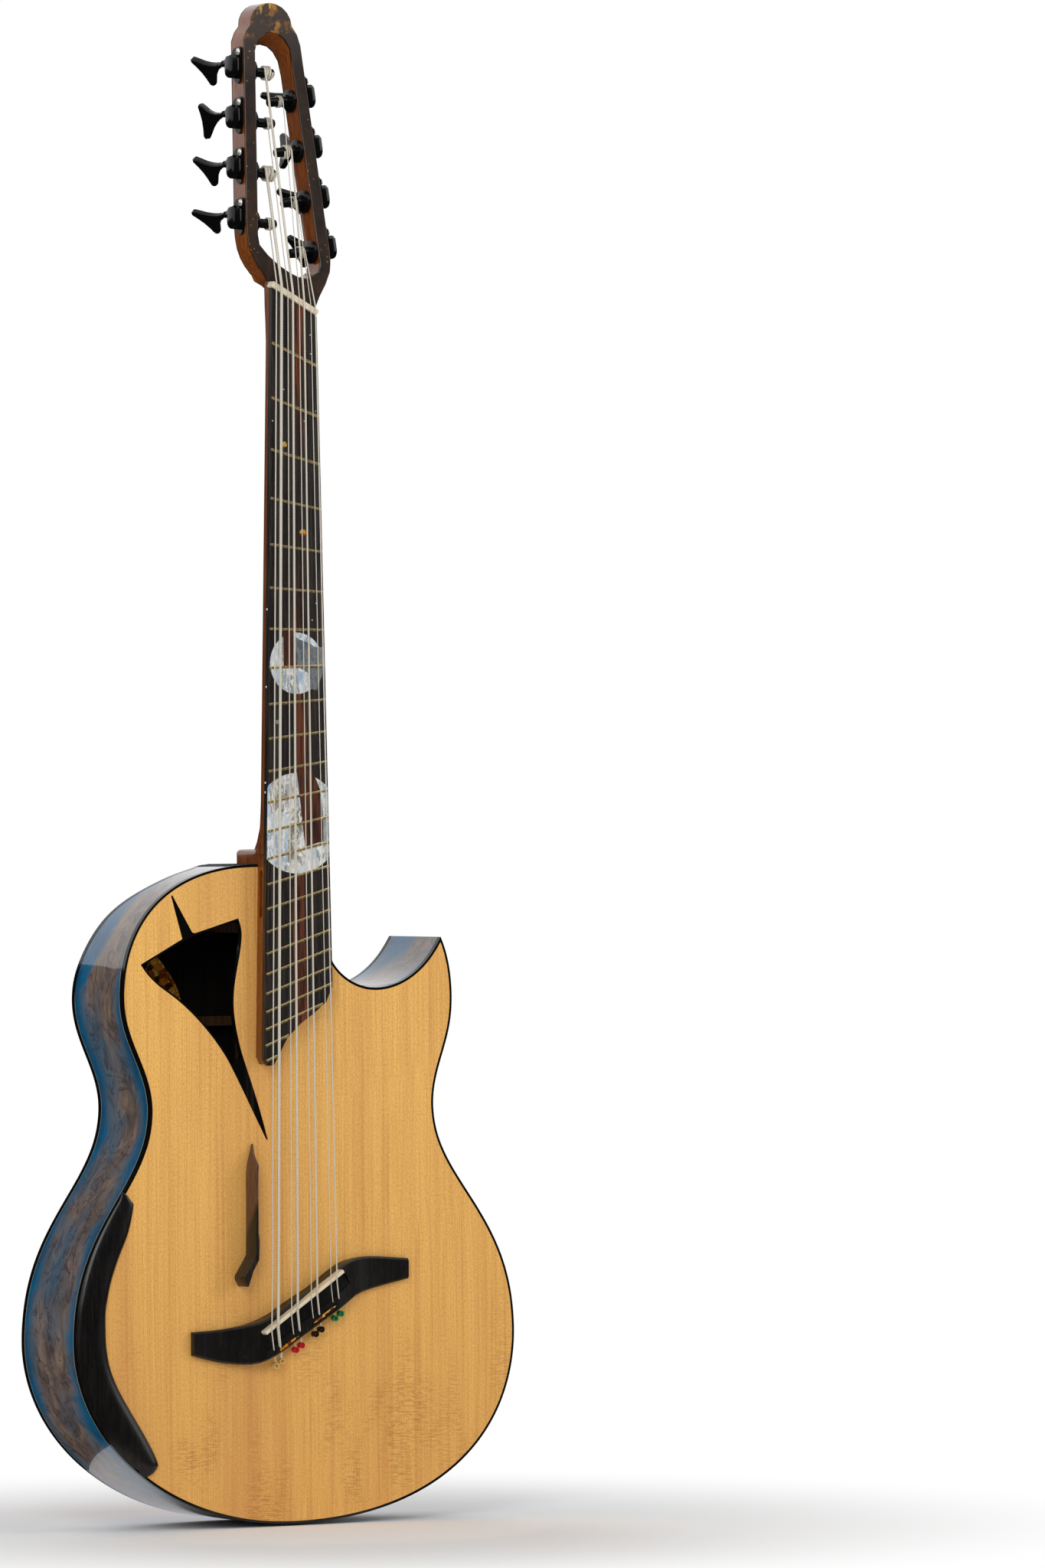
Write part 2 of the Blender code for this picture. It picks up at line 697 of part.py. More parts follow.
def head_outline():
    """The headstock's outline, from the bass side of the nut over its domed top."""
    foot = RAIL_FOOT_Z
    edge = NUT_HALF_WIDTH + 0.0010
    bass = [(-edge, 0.0150), (-0.0252, 0.0212), (-0.0300, 0.0275), (-0.0337, 0.0343)]
    bass += [(rail_outer(foot, -1) + 0.0024, foot), (rail_outer(foot + 0.009, -1) + 0.0007, foot + 0.009)]
    bass += [(rail_outer(foot + 0.018, -1), foot + 0.018)]
    shoulder = DOME_Z - 0.0130
    bass += [(rail_outer(shoulder, -1), shoulder), (rail_outer(DOME_Z, -1) + 0.0028, DOME_Z - 0.0050)]
    dome = []
    for k in range(11):
        angle = math.pi * (1 - k / 10)
        dome.append((DOME_HALF * math.cos(angle), DOME_Z + (HEAD_TOP - DOME_Z) * math.sin(angle)))
    treble = [(rail_outer(DOME_Z, 1) - 0.0015, DOME_Z - 0.0070), (rail_outer(shoulder, 1), shoulder - 0.0030)]
    treble += [(rail_outer(foot, 1), foot), (rail_outer(foot, 1) + 0.0002, foot - 0.0120)]
    treble += [(rail_outer(foot, 1) - 0.0010, foot - 0.0190), (0.0348, 0.0127), (0.0280, 0.0022), (edge, -0.0090)]
    return bass + dome + treble


def window_outline(drop=0.0):
    """The open window between the headstock's rails, whose top comes down by a drop at the back."""
    def left(z):
        return rail_outer(z, -1) + RAIL_WIDTH

    def right(z):
        return rail_outer(z, 1) - RAIL_WIDTH

    top, low = WINDOW_TOP_Z - drop, WINDOW_FOOT_Z
    loop = [(left(0.0530), 0.0530), (left(0.0450) + 0.0014, 0.0450), (-0.0190, low + 0.0195)]
    loop += [(-0.0090, low + 0.0110), (0.0010, low + 0.0048), (0.0095, low + 0.0012), (0.0180, low)]
    loop += [(right(0.0250) - 0.0022, low + 0.0060), (right(0.0290), 0.0290), (right(top - 0.0260), top - 0.0260)]
    loop += [(0.0160, top - 0.0135), (0.0118, top - 0.0060), (0.0065, top - 0.0015), (0.0, top)]
    loop += [(-0.0058, top - 0.0008), (-0.0112, top - 0.0040), (-0.0148, top - 0.0080)]
    loop += [(left(top - 0.0160), top - 0.0160)]
    return loop


def string_layout():
    """For each string from bass to treble: x at nut, x at saddle, radius, side and post number."""
    rows = []
    for course in range(4):
        middle = course - 1.5
        for member in (0, 1):
            shift = member - 0.5
            diameter = COURSE_MAIN[course] if member else COURSE_OCTAVE[course]
            rows.append({
                "nut_x": middle * COURSE_PITCH_NUT + shift * PAIR_PITCH_NUT,
                "saddle_x": middle * COURSE_PITCH_SADDLE + shift * PAIR_PITCH_SADDLE,
                "radius": diameter / 2,
                "main": bool(member),
            })
    for index, row in enumerate(rows):
        row["side"] = -1 if index < 4 else 1
        row["post"] = index if index < 4 else 7 - index
    return rows


STRINGS = string_layout()


def post_z(side, number):
    first = TUNER_FIRST_BASS if side < 0 else TUNER_FIRST_TREBLE
    return first + number * TUNER_PITCH


def post_y(z):
    return head_face_at(z) + POST_BEHIND_FACE


def tuner_frame(side, number):
    """Frame of a tuning machine: x out of the rail, y towards the back, z along the rail."""
    z = post_z(side, number)
    taper = RAIL_TAPER_BASS if side < 0 else -RAIL_TAPER_TREBLE
    along = Vector((taper, HEAD_SLOPE, 1.0)).normalized() * side
    outward = Vector((0, 1, 0)).cross(along).normalized()
    backward = along.cross(outward)
    origin = Vector((rail_outer(z, side), post_y(z), z))
    frame = Matrix.Identity(4)
    for column, axis in enumerate((outward, backward, along)):
        for row in range(3):
            frame[row][column] = axis[row]
    frame.translation = origin
    return frame


def saddle_z(x):
    t = (x - SADDLE_BASS_X) / (SADDLE_TREBLE_X - SADDLE_BASS_X)
    return lerp(SADDLE_BASS_Z, SADDLE_TREBLE_Z, t)


BRIDGE_TOP_EDGE = ((-0.0968, -0.8605), (-0.0695, -0.8591), (-0.0447, -0.8553), (-0.0253, -0.8486),
                   (-0.0063, -0.8376), (0.0164, -0.8252), (0.0331, -0.8138), (0.0460, -0.8065),
                   (0.0598, -0.8030), (0.0758, -0.8020), (0.1110, -0.8045))
BRIDGE_LOW_EDGE = ((-0.0968, -0.8800), (-0.0773, -0.8851), (-0.0580, -0.8882), (-0.0431, -0.8885),
                   (-0.0298, -0.8853), (-0.0146, -0.8780), (0.0036, -0.8666), (0.0260, -0.8530),
                   (0.0460, -0.8413), (0.0604, -0.8338), (0.0755, -0.8290), (0.1110, -0.8216))


def bridge_height(x):
    """Thick under the strings, thin at the wings."""
    middle = 1.0 - smoothstep((abs(x - 0.002) - 0.036) / 0.030)
    return lerp(BRIDGE_WING, BRIDGE_HEIGHT, middle)


def ball_point(row):
    """Where a string's ball end sits, behind the bridge and off its line at the saddle."""
    return Vector((row["saddle_x"] + BALL_SHIFT[0], BALL_Y, saddle_z(row["saddle_x"]) + BALL_SHIFT[1]))


def string_seats(row):
    """Points of a string: its ball, the saddle's back and front edges and the nut's two edges."""
    radius = row["radius"]
    rest = Vector((row["saddle_x"], SADDLE_TOP - GAP - radius, saddle_z(row["saddle_x"])))
    nut = Vector((row["nut_x"], NUT_TOP - GAP - radius, nut_z(row["nut_x"])))
    run = (nut - rest).normalized()
    over_saddle = run * (SADDLE_THICKNESS / 2 + 0.0014)
    over_nut = run * (NUT_THICKNESS / 2 + 0.0009)
    return ball_point(row), rest - over_saddle, rest + over_saddle, nut - over_nut, nut + over_nut


def make_body():
    """Soundboard, back, sides, bindings, linings, blocks and braces."""
    def back_at(offset, extra=0.0):
        return lambda x, z: depth_at(z) - offset - port_dip(x, z, extra)

    wood_edge = BINDING_WIDTH + GAP
    rosette = rosette_outline()
    opening = inset(hole_outline(), HOLE_RIM)
    plate("soundboard", [inset(BODY, wood_edge), inset(rosette, -GAP)], 0.0, TOP_THICKNESS, SPRUCE)
    plate("soundhole_rim", [rosette, opening], 0.0, TOP_THICKNESS, EBONY)

    edge = inset(BODY, wood_edge)
    kept = [p for p in edge if distance_to_loop(p, SHOULDER_ARC + [UPPER_B]) > wood_edge * 1.02
            or p[1] < PORT_END_Z - 0.001]
    kept = [p for p in kept if not (p[0] < -SHOULDER_HALF and p[1] > PORT_END_Z)]
    scoop = [(x + 0.0004, z - 0.0030) for x, z in port_edge() if x > PORT_END_X + wood_edge]
    back_loop = stitch(kept, scoop)
    back = plate("back_plate", [back_loop], back_at(BACK_THICKNESS), back_at(0.0), BURL)
    port_loop = port_frame_loop(edge, scoop)
    frame = plate("soundport_frame", [port_loop] + port_slots(port_loop), back_at(BACK_THICKNESS),
                  back_at(0.0), BLACK_TRIM)
    boolean(frame, port_vanes(port_loop, back_at), "UNION")

    ring = [BODY, inset(BODY, BINDING_WIDTH)]
    plate("top_binding", ring, 0.0, BINDING_DEPTH, BLACK_TRIM)
    plate("back_binding", ring, back_at(BINDING_DEPTH), back_at(0.0), BLACK_TRIM)
    sides = plate("sides", [BODY, inset(BODY, SIDE_THICKNESS)], BINDING_DEPTH + GAP,
                  back_at(BINDING_DEPTH + GAP, 2 * GAP), BURL)

    lining_out = SIDE_THICKNESS + GAP
    lining = [inset(BODY, lining_out), inset(BODY, lining_out + LINING_WIDTH)]
    top_inside = TOP_THICKNESS + GAP
    back_inside = BACK_THICKNESS + GAP
    plate("top_lining", lining, top_inside, top_inside + LINING_DEPTH, PALE_WOOD)
    plate("back_lining", lining, back_at(back_inside + LINING_DEPTH, PORT_RELIEF),
          back_at(back_inside, PORT_RELIEF), PALE_WOOD)
    notch_ring = [inset(BODY, lining_out - 2 * GAP), inset(BODY, lining_out + LINING_WIDTH + GAP)]
    notch_top = plate("lining_notch_top", notch_ring, top_inside - 0.001,
                      top_inside + LINING_DEPTH + GAP, None, CUTTERS)
    notch_back = plate("lining_notch_back", notch_ring, back_at(back_inside + LINING_DEPTH + 5 * GAP, PORT_RELIEF),
                       back_at(back_inside - PORT_DIP), None, CUTTERS)

    inner = inset(BODY, lining_out)
    block_low = SHOULDER_Z - lining_out - BLOCK_LENGTH
    block_high = SHOULDER_Z - lining_out
    block_left, block_right = -SHOULDER_HALF + 2 * GAP, CUT_X - lining_out - GAP
    neck_loop = [(block_left, block_low), (block_right, block_low),
                 (block_right, block_high), (block_left, block_high)]
    block = plate("neck_block", [neck_loop], top_inside, back_at(back_inside), MAHOGANY)
    tail_top = TAIL_Z + lining_out + TAIL_BLOCK_LENGTH
    arc = [p for p in inner if abs(p[0]) < TAIL_BLOCK_HALF and p[1] < tail_top]
    arc.sort()
    tail_loop = [(arc[0][0], tail_top)] + arc + [(arc[-1][0], tail_top)]
    tail = plate("tail_block", [tail_loop], top_inside, back_at(back_inside), MAHOGANY)
    for piece in (block, tail):
        boolean(piece, notch_top)
        boolean(piece, notch_back)
    make_braces(top_inside, back_inside, back_at)
    return sides, tail, back, back_at


def stitch(kept, scoop):
    """The back's outline: its kept edge, opened where the scoop goes in."""
    count = len(kept)
    gaps = [(math.dist(kept[i], kept[(i + 1) % count]), i) for i in range(count)]
    start = max(gaps)[1]
    run = kept[start + 1:] + kept[:start + 1]
    if math.dist(run[-1], scoop[0]) > math.dist(run[-1], scoop[-1]):
        scoop = scoop[::-1]
    return run + scoop


def port_frame_loop(edge, scoop):
    """The sound port's frame: the body's edge on one side and the back's scoop on the other."""
    arc = [p for p in edge if p[0] < -SHOULDER_HALF - 0.001 and p[1] > PORT_END_Z + 0.006]
    arc.sort(key=lambda p: -p[0])
    lower = [(x - 0.0002, z + GAP * 1.6) for x, z in scoop if x < -SHOULDER_HALF - 0.0025]
    lower = [p for p in lower if inside(p, edge) and distance_to_loop(p, edge) > 0.0015]
    return arc + lower[::-1]


def band_at(loop, x):
    """Lowest and highest z of a loop at x."""
    cuts = []
    for (x0, z0), (x1, z1) in zip(loop, loop[1:] + loop[:1]):
        if (x0 > x) != (x1 > x):
            cuts.append(z0 + (z1 - z0) * (x - x0) / (x1 - x0))
    return min(cuts), max(cuts)


def port_pitch(loop):
    """Distance from one vane to the next, as a share of the frame's run."""
    return (PORT_VANE_FIRST_X - min(x for x, _ in loop)) * PORT_SLOTS_SHARE / PORT_VANES


def port_slots(loop):
    """The open slots between the port's vanes."""
    slots = []
    pitch = port_pitch(loop)
    for k in range(PORT_VANES):
        right = PORT_VANE_FIRST_X - k * pitch
        left = right - pitch + PORT_VANE_WIDTH
        low_r, high_r = band_at(loop, right)
        low_l, high_l = band_at(loop, left)
        border = LINING_WIDTH + PORT_BORDER
        if high_l - low_l > border + PORT_BORDER + 0.003:
            slots.append([(left, low_l + PORT_BORDER), (right, low_r + PORT_BORDER),
                          (right, high_r - border), (left, high_l - border)])
    return slots


def port_vanes(loop, back_at):
    """Deep vanes that stand inwards between the slots, clear of the lining."""
    vanes = []
    half = PORT_VANE_WIDTH * 0.4
    clear = inset(BODY, SIDE_THICKNESS + LINING_WIDTH + 3 * GAP)
    pitch = port_pitch(loop)
    for k in range(PORT_VANES - 1):
        x = PORT_VANE_FIRST_X - (k + 1) * pitch + PORT_VANE_WIDTH / 2
        low = max(band_at(loop, x - half)[0], band_at(loop, x + half)[0])
        high = min(band_at(clear, x - half)[1], band_at(clear, x + half)[1])
        vanes.append(bar("vane", (x, low + 0.0010), (x, high - 0.0004), half * 2,
                         back_at(PORT_VANE_DEPTH), back_at(0.0012), None))
    return joined_cutter("port_vanes", vanes)


def make_braces(top_inside, back_inside, back_at):
    """Braces glued under the soundboard and across the back."""
    front, back = top_inside, top_inside + BRACE_HEIGHT
    cross_z = WAIST_Z - 0.028
    cross = bar("cross", (-WAIST_BASS + 0.022, cross_z), (WAIST_TREBLE - 0.022, cross_z),
                BRACE_WIDTH, front, back, PALE_WOOD, PARTS)
    cross.name = "top_braces"
    for side in (-1, 1):
        leg = bar("leg", (side * 0.026, cross_z + 0.002), (side * 0.122, LOWER_Z - 0.072),
                  BRACE_WIDTH, front + 0.00002, back - 0.00002, None)
        boolean(cross, leg, "UNION")
    bottom, top = back_at(back_inside + BRACE_HEIGHT), back_at(back_inside)
    strip = bar("back_braces", (0.004, UPPER_BASS_Z + 0.020), (0.004, TAIL_Z + 0.055), 0.016,
                back_at(back_inside + STRIP_THICKNESS), top, PALE_WOOD, PARTS)
    spans = ((UPPER_BASS_Z - 0.022, UPPER_BASS), (WAIST_Z - 0.060, WAIST_BASS), (LOWER_Z, LOWER_BASS))
    for z, half in spans:
        rung = bar("rung", (-half + 0.030, z), (half - 0.030, z), BRACE_WIDTH, bottom,
                   back_at(back_inside + 0.00002), None)
        boolean(strip, rung, "UNION")
    plate_loop = [(-0.060, SADDLE_BASS_Z - 0.0354), (0.060, SADDLE_BASS_Z - 0.0074),
                  (0.058, SADDLE_BASS_Z + 0.0426), (-0.045, SADDLE_BASS_Z + 0.0186)]
    plate("bridge_plate", [plate_loop], front, front + BRIDGE_PLATE_THICKNESS, PALE_WOOD)


def stem_point(t):
    """Middle of the inlay's stem, from its foot at the treble side to its top leaf."""
    foot, top = Vector(STEM_FOOT), Vector(STEM_TOP)
    spot = foot.lerp(top, t)
    along = (top - foot).normalized()
    side = Vector((-along.y, along.x))
    return spot + side * math.sin(math.pi * t) * STEM_BOW


def leaf_points(base, tip, width, count=8):
    """One leaf's outline from its foot round its tip and back."""
    base, tip = Vector(base), Vector(tip)
    along = tip - base
    side = Vector((-along.y, along.x)).normalized()
    left = []
    right = []
    for k in range(1, count):
        t = k / count
        half = width / 2 * math.sin(math.pi * t) ** 1.15
        middle = base + along * t + side * math.sin(math.pi * t) * along.length * 0.06
        left.append(tuple(middle + side * half))
        right.append(tuple(middle - side * half))
    return left, tuple(tip), right


def sprig_outline():
    """A stem with leaves to either side as one closed outline."""
    sides = {1: [], -1: []}
    for side in (1, -1):
        for share, turn in LEAVES:
            if turn * side < 0:
                continue
            here = stem_point(share)
            along = (stem_point(share + 0.01) - stem_point(share - 0.01)).normalized()
            out = Vector((-along.y, along.x)) * side
            size = LEAF_LENGTH * (1.0 - 0.22 * share)
            tip = here + (along * math.cos(math.radians(abs(turn)))
                          + out * math.sin(math.radians(abs(turn)))) * size
            foot = here + out * STEM_WIDTH / 2
            low = stem_point(share - 0.014) + out * STEM_WIDTH / 2
            high = stem_point(share + 0.014) + out * STEM_WIDTH / 2
            left, point, right = leaf_points(foot, tip, LEAF_WIDTH)
            first, second = (left, right) if side > 0 else (right, left)
            sides[side] += [tuple(low)] + first + [point] + second[::-1] + [tuple(high)]
    foot, up = stem_point(0.0), stem_point(0.01)
    along = (up - foot).normalized()
    out = Vector((-along.y, along.x)) * STEM_WIDTH / 2
    top = stem_point(1.0)
    end = top + (top - stem_point(0.97)).normalized() * LEAF_LENGTH * 0.8
    left, point, right = leaf_points(top, end, LEAF_WIDTH * 0.9)
    return ([tuple(foot - out), tuple(foot + out)] + sides[1] + left + [point] + right[::-1]
            + sides[-1][::-1])


def make_back_inlay(back, back_at):
    """An amber inlay let right through the back."""
    outline = sprig_outline()
    plate("back_inlay", [outline], back_at(BACK_THICKNESS), back_at(0.0), AMBER)
    pocket = plate("inlay_pocket", [inset(outline, -GAP)], back_at(BACK_THICKNESS + 0.002),
                   back_at(-0.002), None, CUTTERS)
    boolean(back, pocket)


def neck_ring(z, depth, half, top=BOARD_BOTTOM, count=13):
    """A D section of the neck at z."""
    ring = []
    for k in range(count):
        angle = math.pi * k / (count - 1)
        bulge = math.sin(angle) ** 0.75 if 0 < k < count - 1 else 0.0
        ring.append((half * math.cos(angle), top + depth * bulge, z))
    return ring


def make_neck():
    """Neck with its headstock frame, heel and the riser under the fretboard's end."""
    heel_top = SHOULDER_Z + GAP + HEEL_HEIGHT
    rings = []
    stations = ((0.030, 0.0225, 0.0205), (0.012, 0.0218, 0.0212), (-0.006, 0.0205, 0.0214),
                (-0.020, NECK_DEPTH_NUT + 0.0018, None), (-0.036, NECK_DEPTH_NUT, None),
                (-0.200, lerp(NECK_DEPTH_NUT, NECK_DEPTH_HEEL, 0.45), None),
                (heel_top + 0.040, NECK_DEPTH_HEEL, None), (heel_top + 0.018, NECK_DEPTH_HEEL + 0.003, None),
                (heel_top + 0.006, NECK_DEPTH_HEEL + 0.011, None), (heel_top - 0.004, 0.0430, None))
    for z, depth, half in stations:
        width = half if half else board_half_width(z) - NECK_EDGE_INSET
        rings.append(neck_ring(z, depth, width))
    neck = loft("neck", rings, MAHOGANY)

    corner = []
    for k in range(5):
        angle = math.radians(90 * k / 4)
        corner.append((HEEL_CORNER * (1 - math.sin(angle)), HEEL_CORNER * (1 - math.cos(angle))))
    def heel_ring(z, less):
        left, right, deep = less - HEEL_BASS, HEEL_TREBLE - less, HEEL_BACK - less
        ring = [(left, BOARD_BOTTOM + 0.0002, z), (right, BOARD_BOTTOM + 0.0002, z)]
        ring += [(right - dy, deep - dx, z) for dx, dy in corner]
        ring += [(left + dx, deep - dy, z) for dx, dy in corner]
        return ring

    heel = loft("heel", [heel_ring(SHOULDER_Z + GAP, 0.0), heel_ring(heel_top - HEEL_ROUND, 0.0),
                         heel_ring(heel_top - HEEL_ROUND * 0.3, HEEL_ROUND * 0.3), heel_ring(heel_top, HEEL_ROUND)],
                None, CUTTERS)
    boolean(neck, heel, "UNION")

    riser = plate("riser", [board_outline(RISER_INSET, SHOULDER_Z + 0.004)], BOARD_BOTTOM, -GAP, None, CUTTERS)
    boolean(neck, riser, "UNION")

    core = plate("head_core", [head_outline()],
                 lambda x, z: head_face_at(z) + VENEER + GAP,
                 lambda x, z: head_face_at(z) + HEAD_THICKNESS - VENEER - GAP, None, CUTTERS)
    boolean(neck, core, "UNION")
    over = 0.0040
    slope = WINDOW_TOP_DROP * over / HEAD_THICKNESS
    front = [(x, head_face_at(z) - over, z) for x, z in window_outline(-slope)]
    back = [(x, head_face_at(z) + HEAD_THICKNESS + over, z) for x, z in window_outline(WINDOW_TOP_DROP + slope)]
    window = loft("head_window", [front, back], None, CUTTERS)
    boolean(neck, window)
    shelf = plate("head_shelf", [head_outline()], -0.060, lambda x, z: head_face_at(z) + VENEER + GAP,
                  None, CUTTERS)
    boolean(neck, shelf)

    nut_seat_half = NUT_THICKNESS / 2 + GAP
    seat = bar("nut_seat", (-0.030, nut_z(-0.030)), (0.030, nut_z(0.030)), nut_seat_half * 2,
               -0.040, BOARD_BOTTOM + VENEER, None)
    boolean(neck, seat)

    channel = box("rod_channel", (-ROD_WIDTH / 2 - GAP, BOARD_BOTTOM - 0.002, ROD_TOP_Z - ROD_LENGTH - GAP),
                  (ROD_WIDTH / 2 + GAP, BOARD_BOTTOM + ROD_DEPTH + 2 * GAP, ROD_TOP_Z + GAP))
    boolean(neck, channel)
    half_slot = RISER_SLOT_HEIGHT / 2
    middle_y = (BOARD_BOTTOM - GAP) / 2
    slot_top = SHOULDER_Z - 0.005
    slot_ring = []
    for k in range(12):
        angle = 2 * math.pi * (k + 0.5) / 12
        end = slot_top - half_slot if math.sin(angle) > 0 else slot_top - RISER_SLOT_LENGTH + half_slot
        slot_ring.append((middle_y + half_slot * math.cos(angle), end + half_slot * math.sin(angle)))
    for side in (-1, 1):
        ends = (side * (board_half_width(slot_top) - RISER_SLOT_DEPTH), side * 0.06)
        slot = loft("riser_slot", [[(x, y, z) for y, z in slot_ring] for x in ends], None, CUTTERS)
        boolean(neck, slot)

    bores = []
    for side in (-1, 1):
        for number in range(4):
            bore = turned("bore", ((-RAIL_WIDTH * 1.8, POST_RADIUS + PLAY + BUSH_WALL + GAP),
                                   (RAIL_WIDTH, POST_RADIUS + PLAY + BUSH_WALL + GAP)), "x", 12, None)
            bore.data.transform(tuner_frame(side, number))
            bores.append(bore)
    boolean(neck, joined_cutter("tuner_bores", bores))

    rod_low = ROD_TOP_Z - ROD_LENGTH
    box("truss_rod", (-ROD_WIDTH / 2, BOARD_BOTTOM + GAP, rod_low),
        (ROD_WIDTH / 2, BOARD_BOTTOM + ROD_DEPTH, ROD_TOP_Z), STEEL, PARTS)


def make_veneers():
    """Thin flecked facings on the front and the back of the headstock."""
    def trimmed(z_low):
        return [(x, z) for x, z in head_outline() if z > z_low]

    nut_back = (NUT_THICKNESS / 2 + GAP) / nut_lean()
    front_loop = [p for p in head_outline() if p[1] > nut_z(p[0]) + nut_back + 0.001]
    front_loop = [(-NUT_HALF_WIDTH - 0.0008, nut_z(-NUT_HALF_WIDTH) + nut_back)] + front_loop
    front_loop += [(NUT_HALF_WIDTH + 0.0008, nut_z(NUT_HALF_WIDTH) + nut_back)]
    plate("headstock_front_veneer", [front_loop, window_outline()],
          lambda x, z: head_face_at(z), lambda x, z: head_face_at(z) + VENEER, FLECKED)
    back_loop = trimmed(0.0200)
    tip = [(0.0280, 0.0080), (0.0130, -0.0010), (0.0040, -0.0035), (-0.0080, 0.0050)]
    plate("headstock_back_veneer", [back_loop + tip, window_outline(WINDOW_TOP_DROP)],
          lambda x, z: head_face_at(z) + HEAD_THICKNESS - VENEER,
          lambda x, z: head_face_at(z) + HEAD_THICKNESS, FLECKED)


def make_fretboard():
    """Fretboard with its frets, and the bone nut at its end."""
    outline = board_outline()
    board = plate("fretboard", [outline], BOARD_TOP, BOARD_BOTTOM - GAP, EBONY)
    bars = []
    for number in range(1, FRET_COUNT + 1):
        bass, treble = fret_line(number)
        span = [t / 60 for t in range(61)]
        on_board = [t for t in span if inside(tuple(bass.lerp(treble, t)), inset(outline, 0.0006))]
        start, end = bass.lerp(treble, on_board[0]), bass.lerp(treble, on_board[-1])
        along = (end - start).normalized()
        across = Vector((-along.y, along.x))
        half = FRET_WIDTH / 2
        section = ((-half, BOARD_TOP + 0.0010), (half, BOARD_TOP + 0.0010), (half, BOARD_TOP - 0.0003),
                   (half * 0.45, FRET_TOP), (-half * 0.45, FRET_TOP), (-half, BOARD_TOP - 0.0003))
        rings = []
        for point in (start, end):
            ring = []
            for offset, y in section:
                spot = point + across * offset
                ring.append((spot.x, y, spot.y))
            rings.append(ring)
        bars.append(loft("fret", rings, None, CUTTERS))
    boolean(board, joined_cutter("frets", bars), "UNION")
    nut_half = NUT_HALF_WIDTH + 0.0002
    bar("nut", (-nut_half, nut_z(-nut_half)), (nut_half, nut_z(nut_half)), NUT_THICKNESS, NUT_TOP,
        BOARD_BOTTOM + VENEER - GAP, BONE, PARTS)


def saddle_bar(name, width, front, back, shift, extend, mat, collection):
    """A bar along the slanted saddle line, moved off it towards the tail by a shift."""
    a = Vector((SADDLE_BASS_X, SADDLE_BASS_Z))
    b = Vector((SADDLE_TREBLE_X, SADDLE_TREBLE_Z))
    along = (b - a).normalized()
    behind = Vector((along.y, -along.x))
    start = a - along * extend + behind * shift
    end = b + along * extend + behind * shift
    return bar(name, tuple(start), tuple(end), width, front, back, mat, collection)


def make_bridge():
    """Ebony bridge of S form, with its bone saddle, string well and string bores."""
    first, last = BRIDGE_TOP_EDGE[0][0], BRIDGE_TOP_EDGE[-1][0]
    rings = []
    count = 28
    for k in range(count + 1):
        x = lerp(first, last, k / count)
        high = curve_value(BRIDGE_TOP_EDGE, x)
        low = curve_value(BRIDGE_LOW_EDGE, x)
        top = -GAP - bridge_height(x)
        edge = BRIDGE_EDGE
        rings.append([(x, -GAP, low), (x, top + edge, low), (x, top, low + edge),
                      (x, top, high - edge), (x, top + edge, high), (x, -GAP, high)])
    bridge = loft("bridge", rings, EBONY)
    top = -GAP - BRIDGE_HEIGHT
    slot = saddle_bar("saddle_slot", SADDLE_THICKNESS + 2 * GAP, top - 0.01, top + SADDLE_SLOT_DEPTH,
                      0.0, GAP, None, CUTTERS)
    well = saddle_bar("string_well", WELL_WIDTH, top - 0.01, top + WELL_DEPTH, WELL_BEHIND,
                      WELL_EXTRA, None, CUTTERS)
    boolean(bridge, slot)
    boolean(bridge, well)
    bores = []
    for row in STRINGS:
        ball = ball_point(row)
        along = string_seats(row)[1] - ball
        bore = turned("string_bore", ((-0.020, row["radius"] + PLAY), (along.length * 0.9, row["radius"] + PLAY)),
                      "z", 8, None)
        turn = Vector((0, 0, 1)).rotation_difference(along).to_matrix().to_4x4()
        bore.data.transform(Matrix.Translation(ball) @ turn)
        bores.append(bore)
        pocket = turned("ball_pocket", ((-0.020, BALL_RADIUS + PLAY), (BALL_LENGTH + PLAY, BALL_RADIUS + PLAY)),
                        "z", 12, None)
        pocket.data.transform(Matrix.Translation(ball) @ turn)
        boolean(bridge, pocket)
    boolean(bridge, joined_cutter("string_bores", bores))
    saddle_bar("saddle", SADDLE_THICKNESS, SADDLE_TOP, top + SADDLE_SLOT_DEPTH - GAP, 0.0, 0.0, BONE, PARTS)


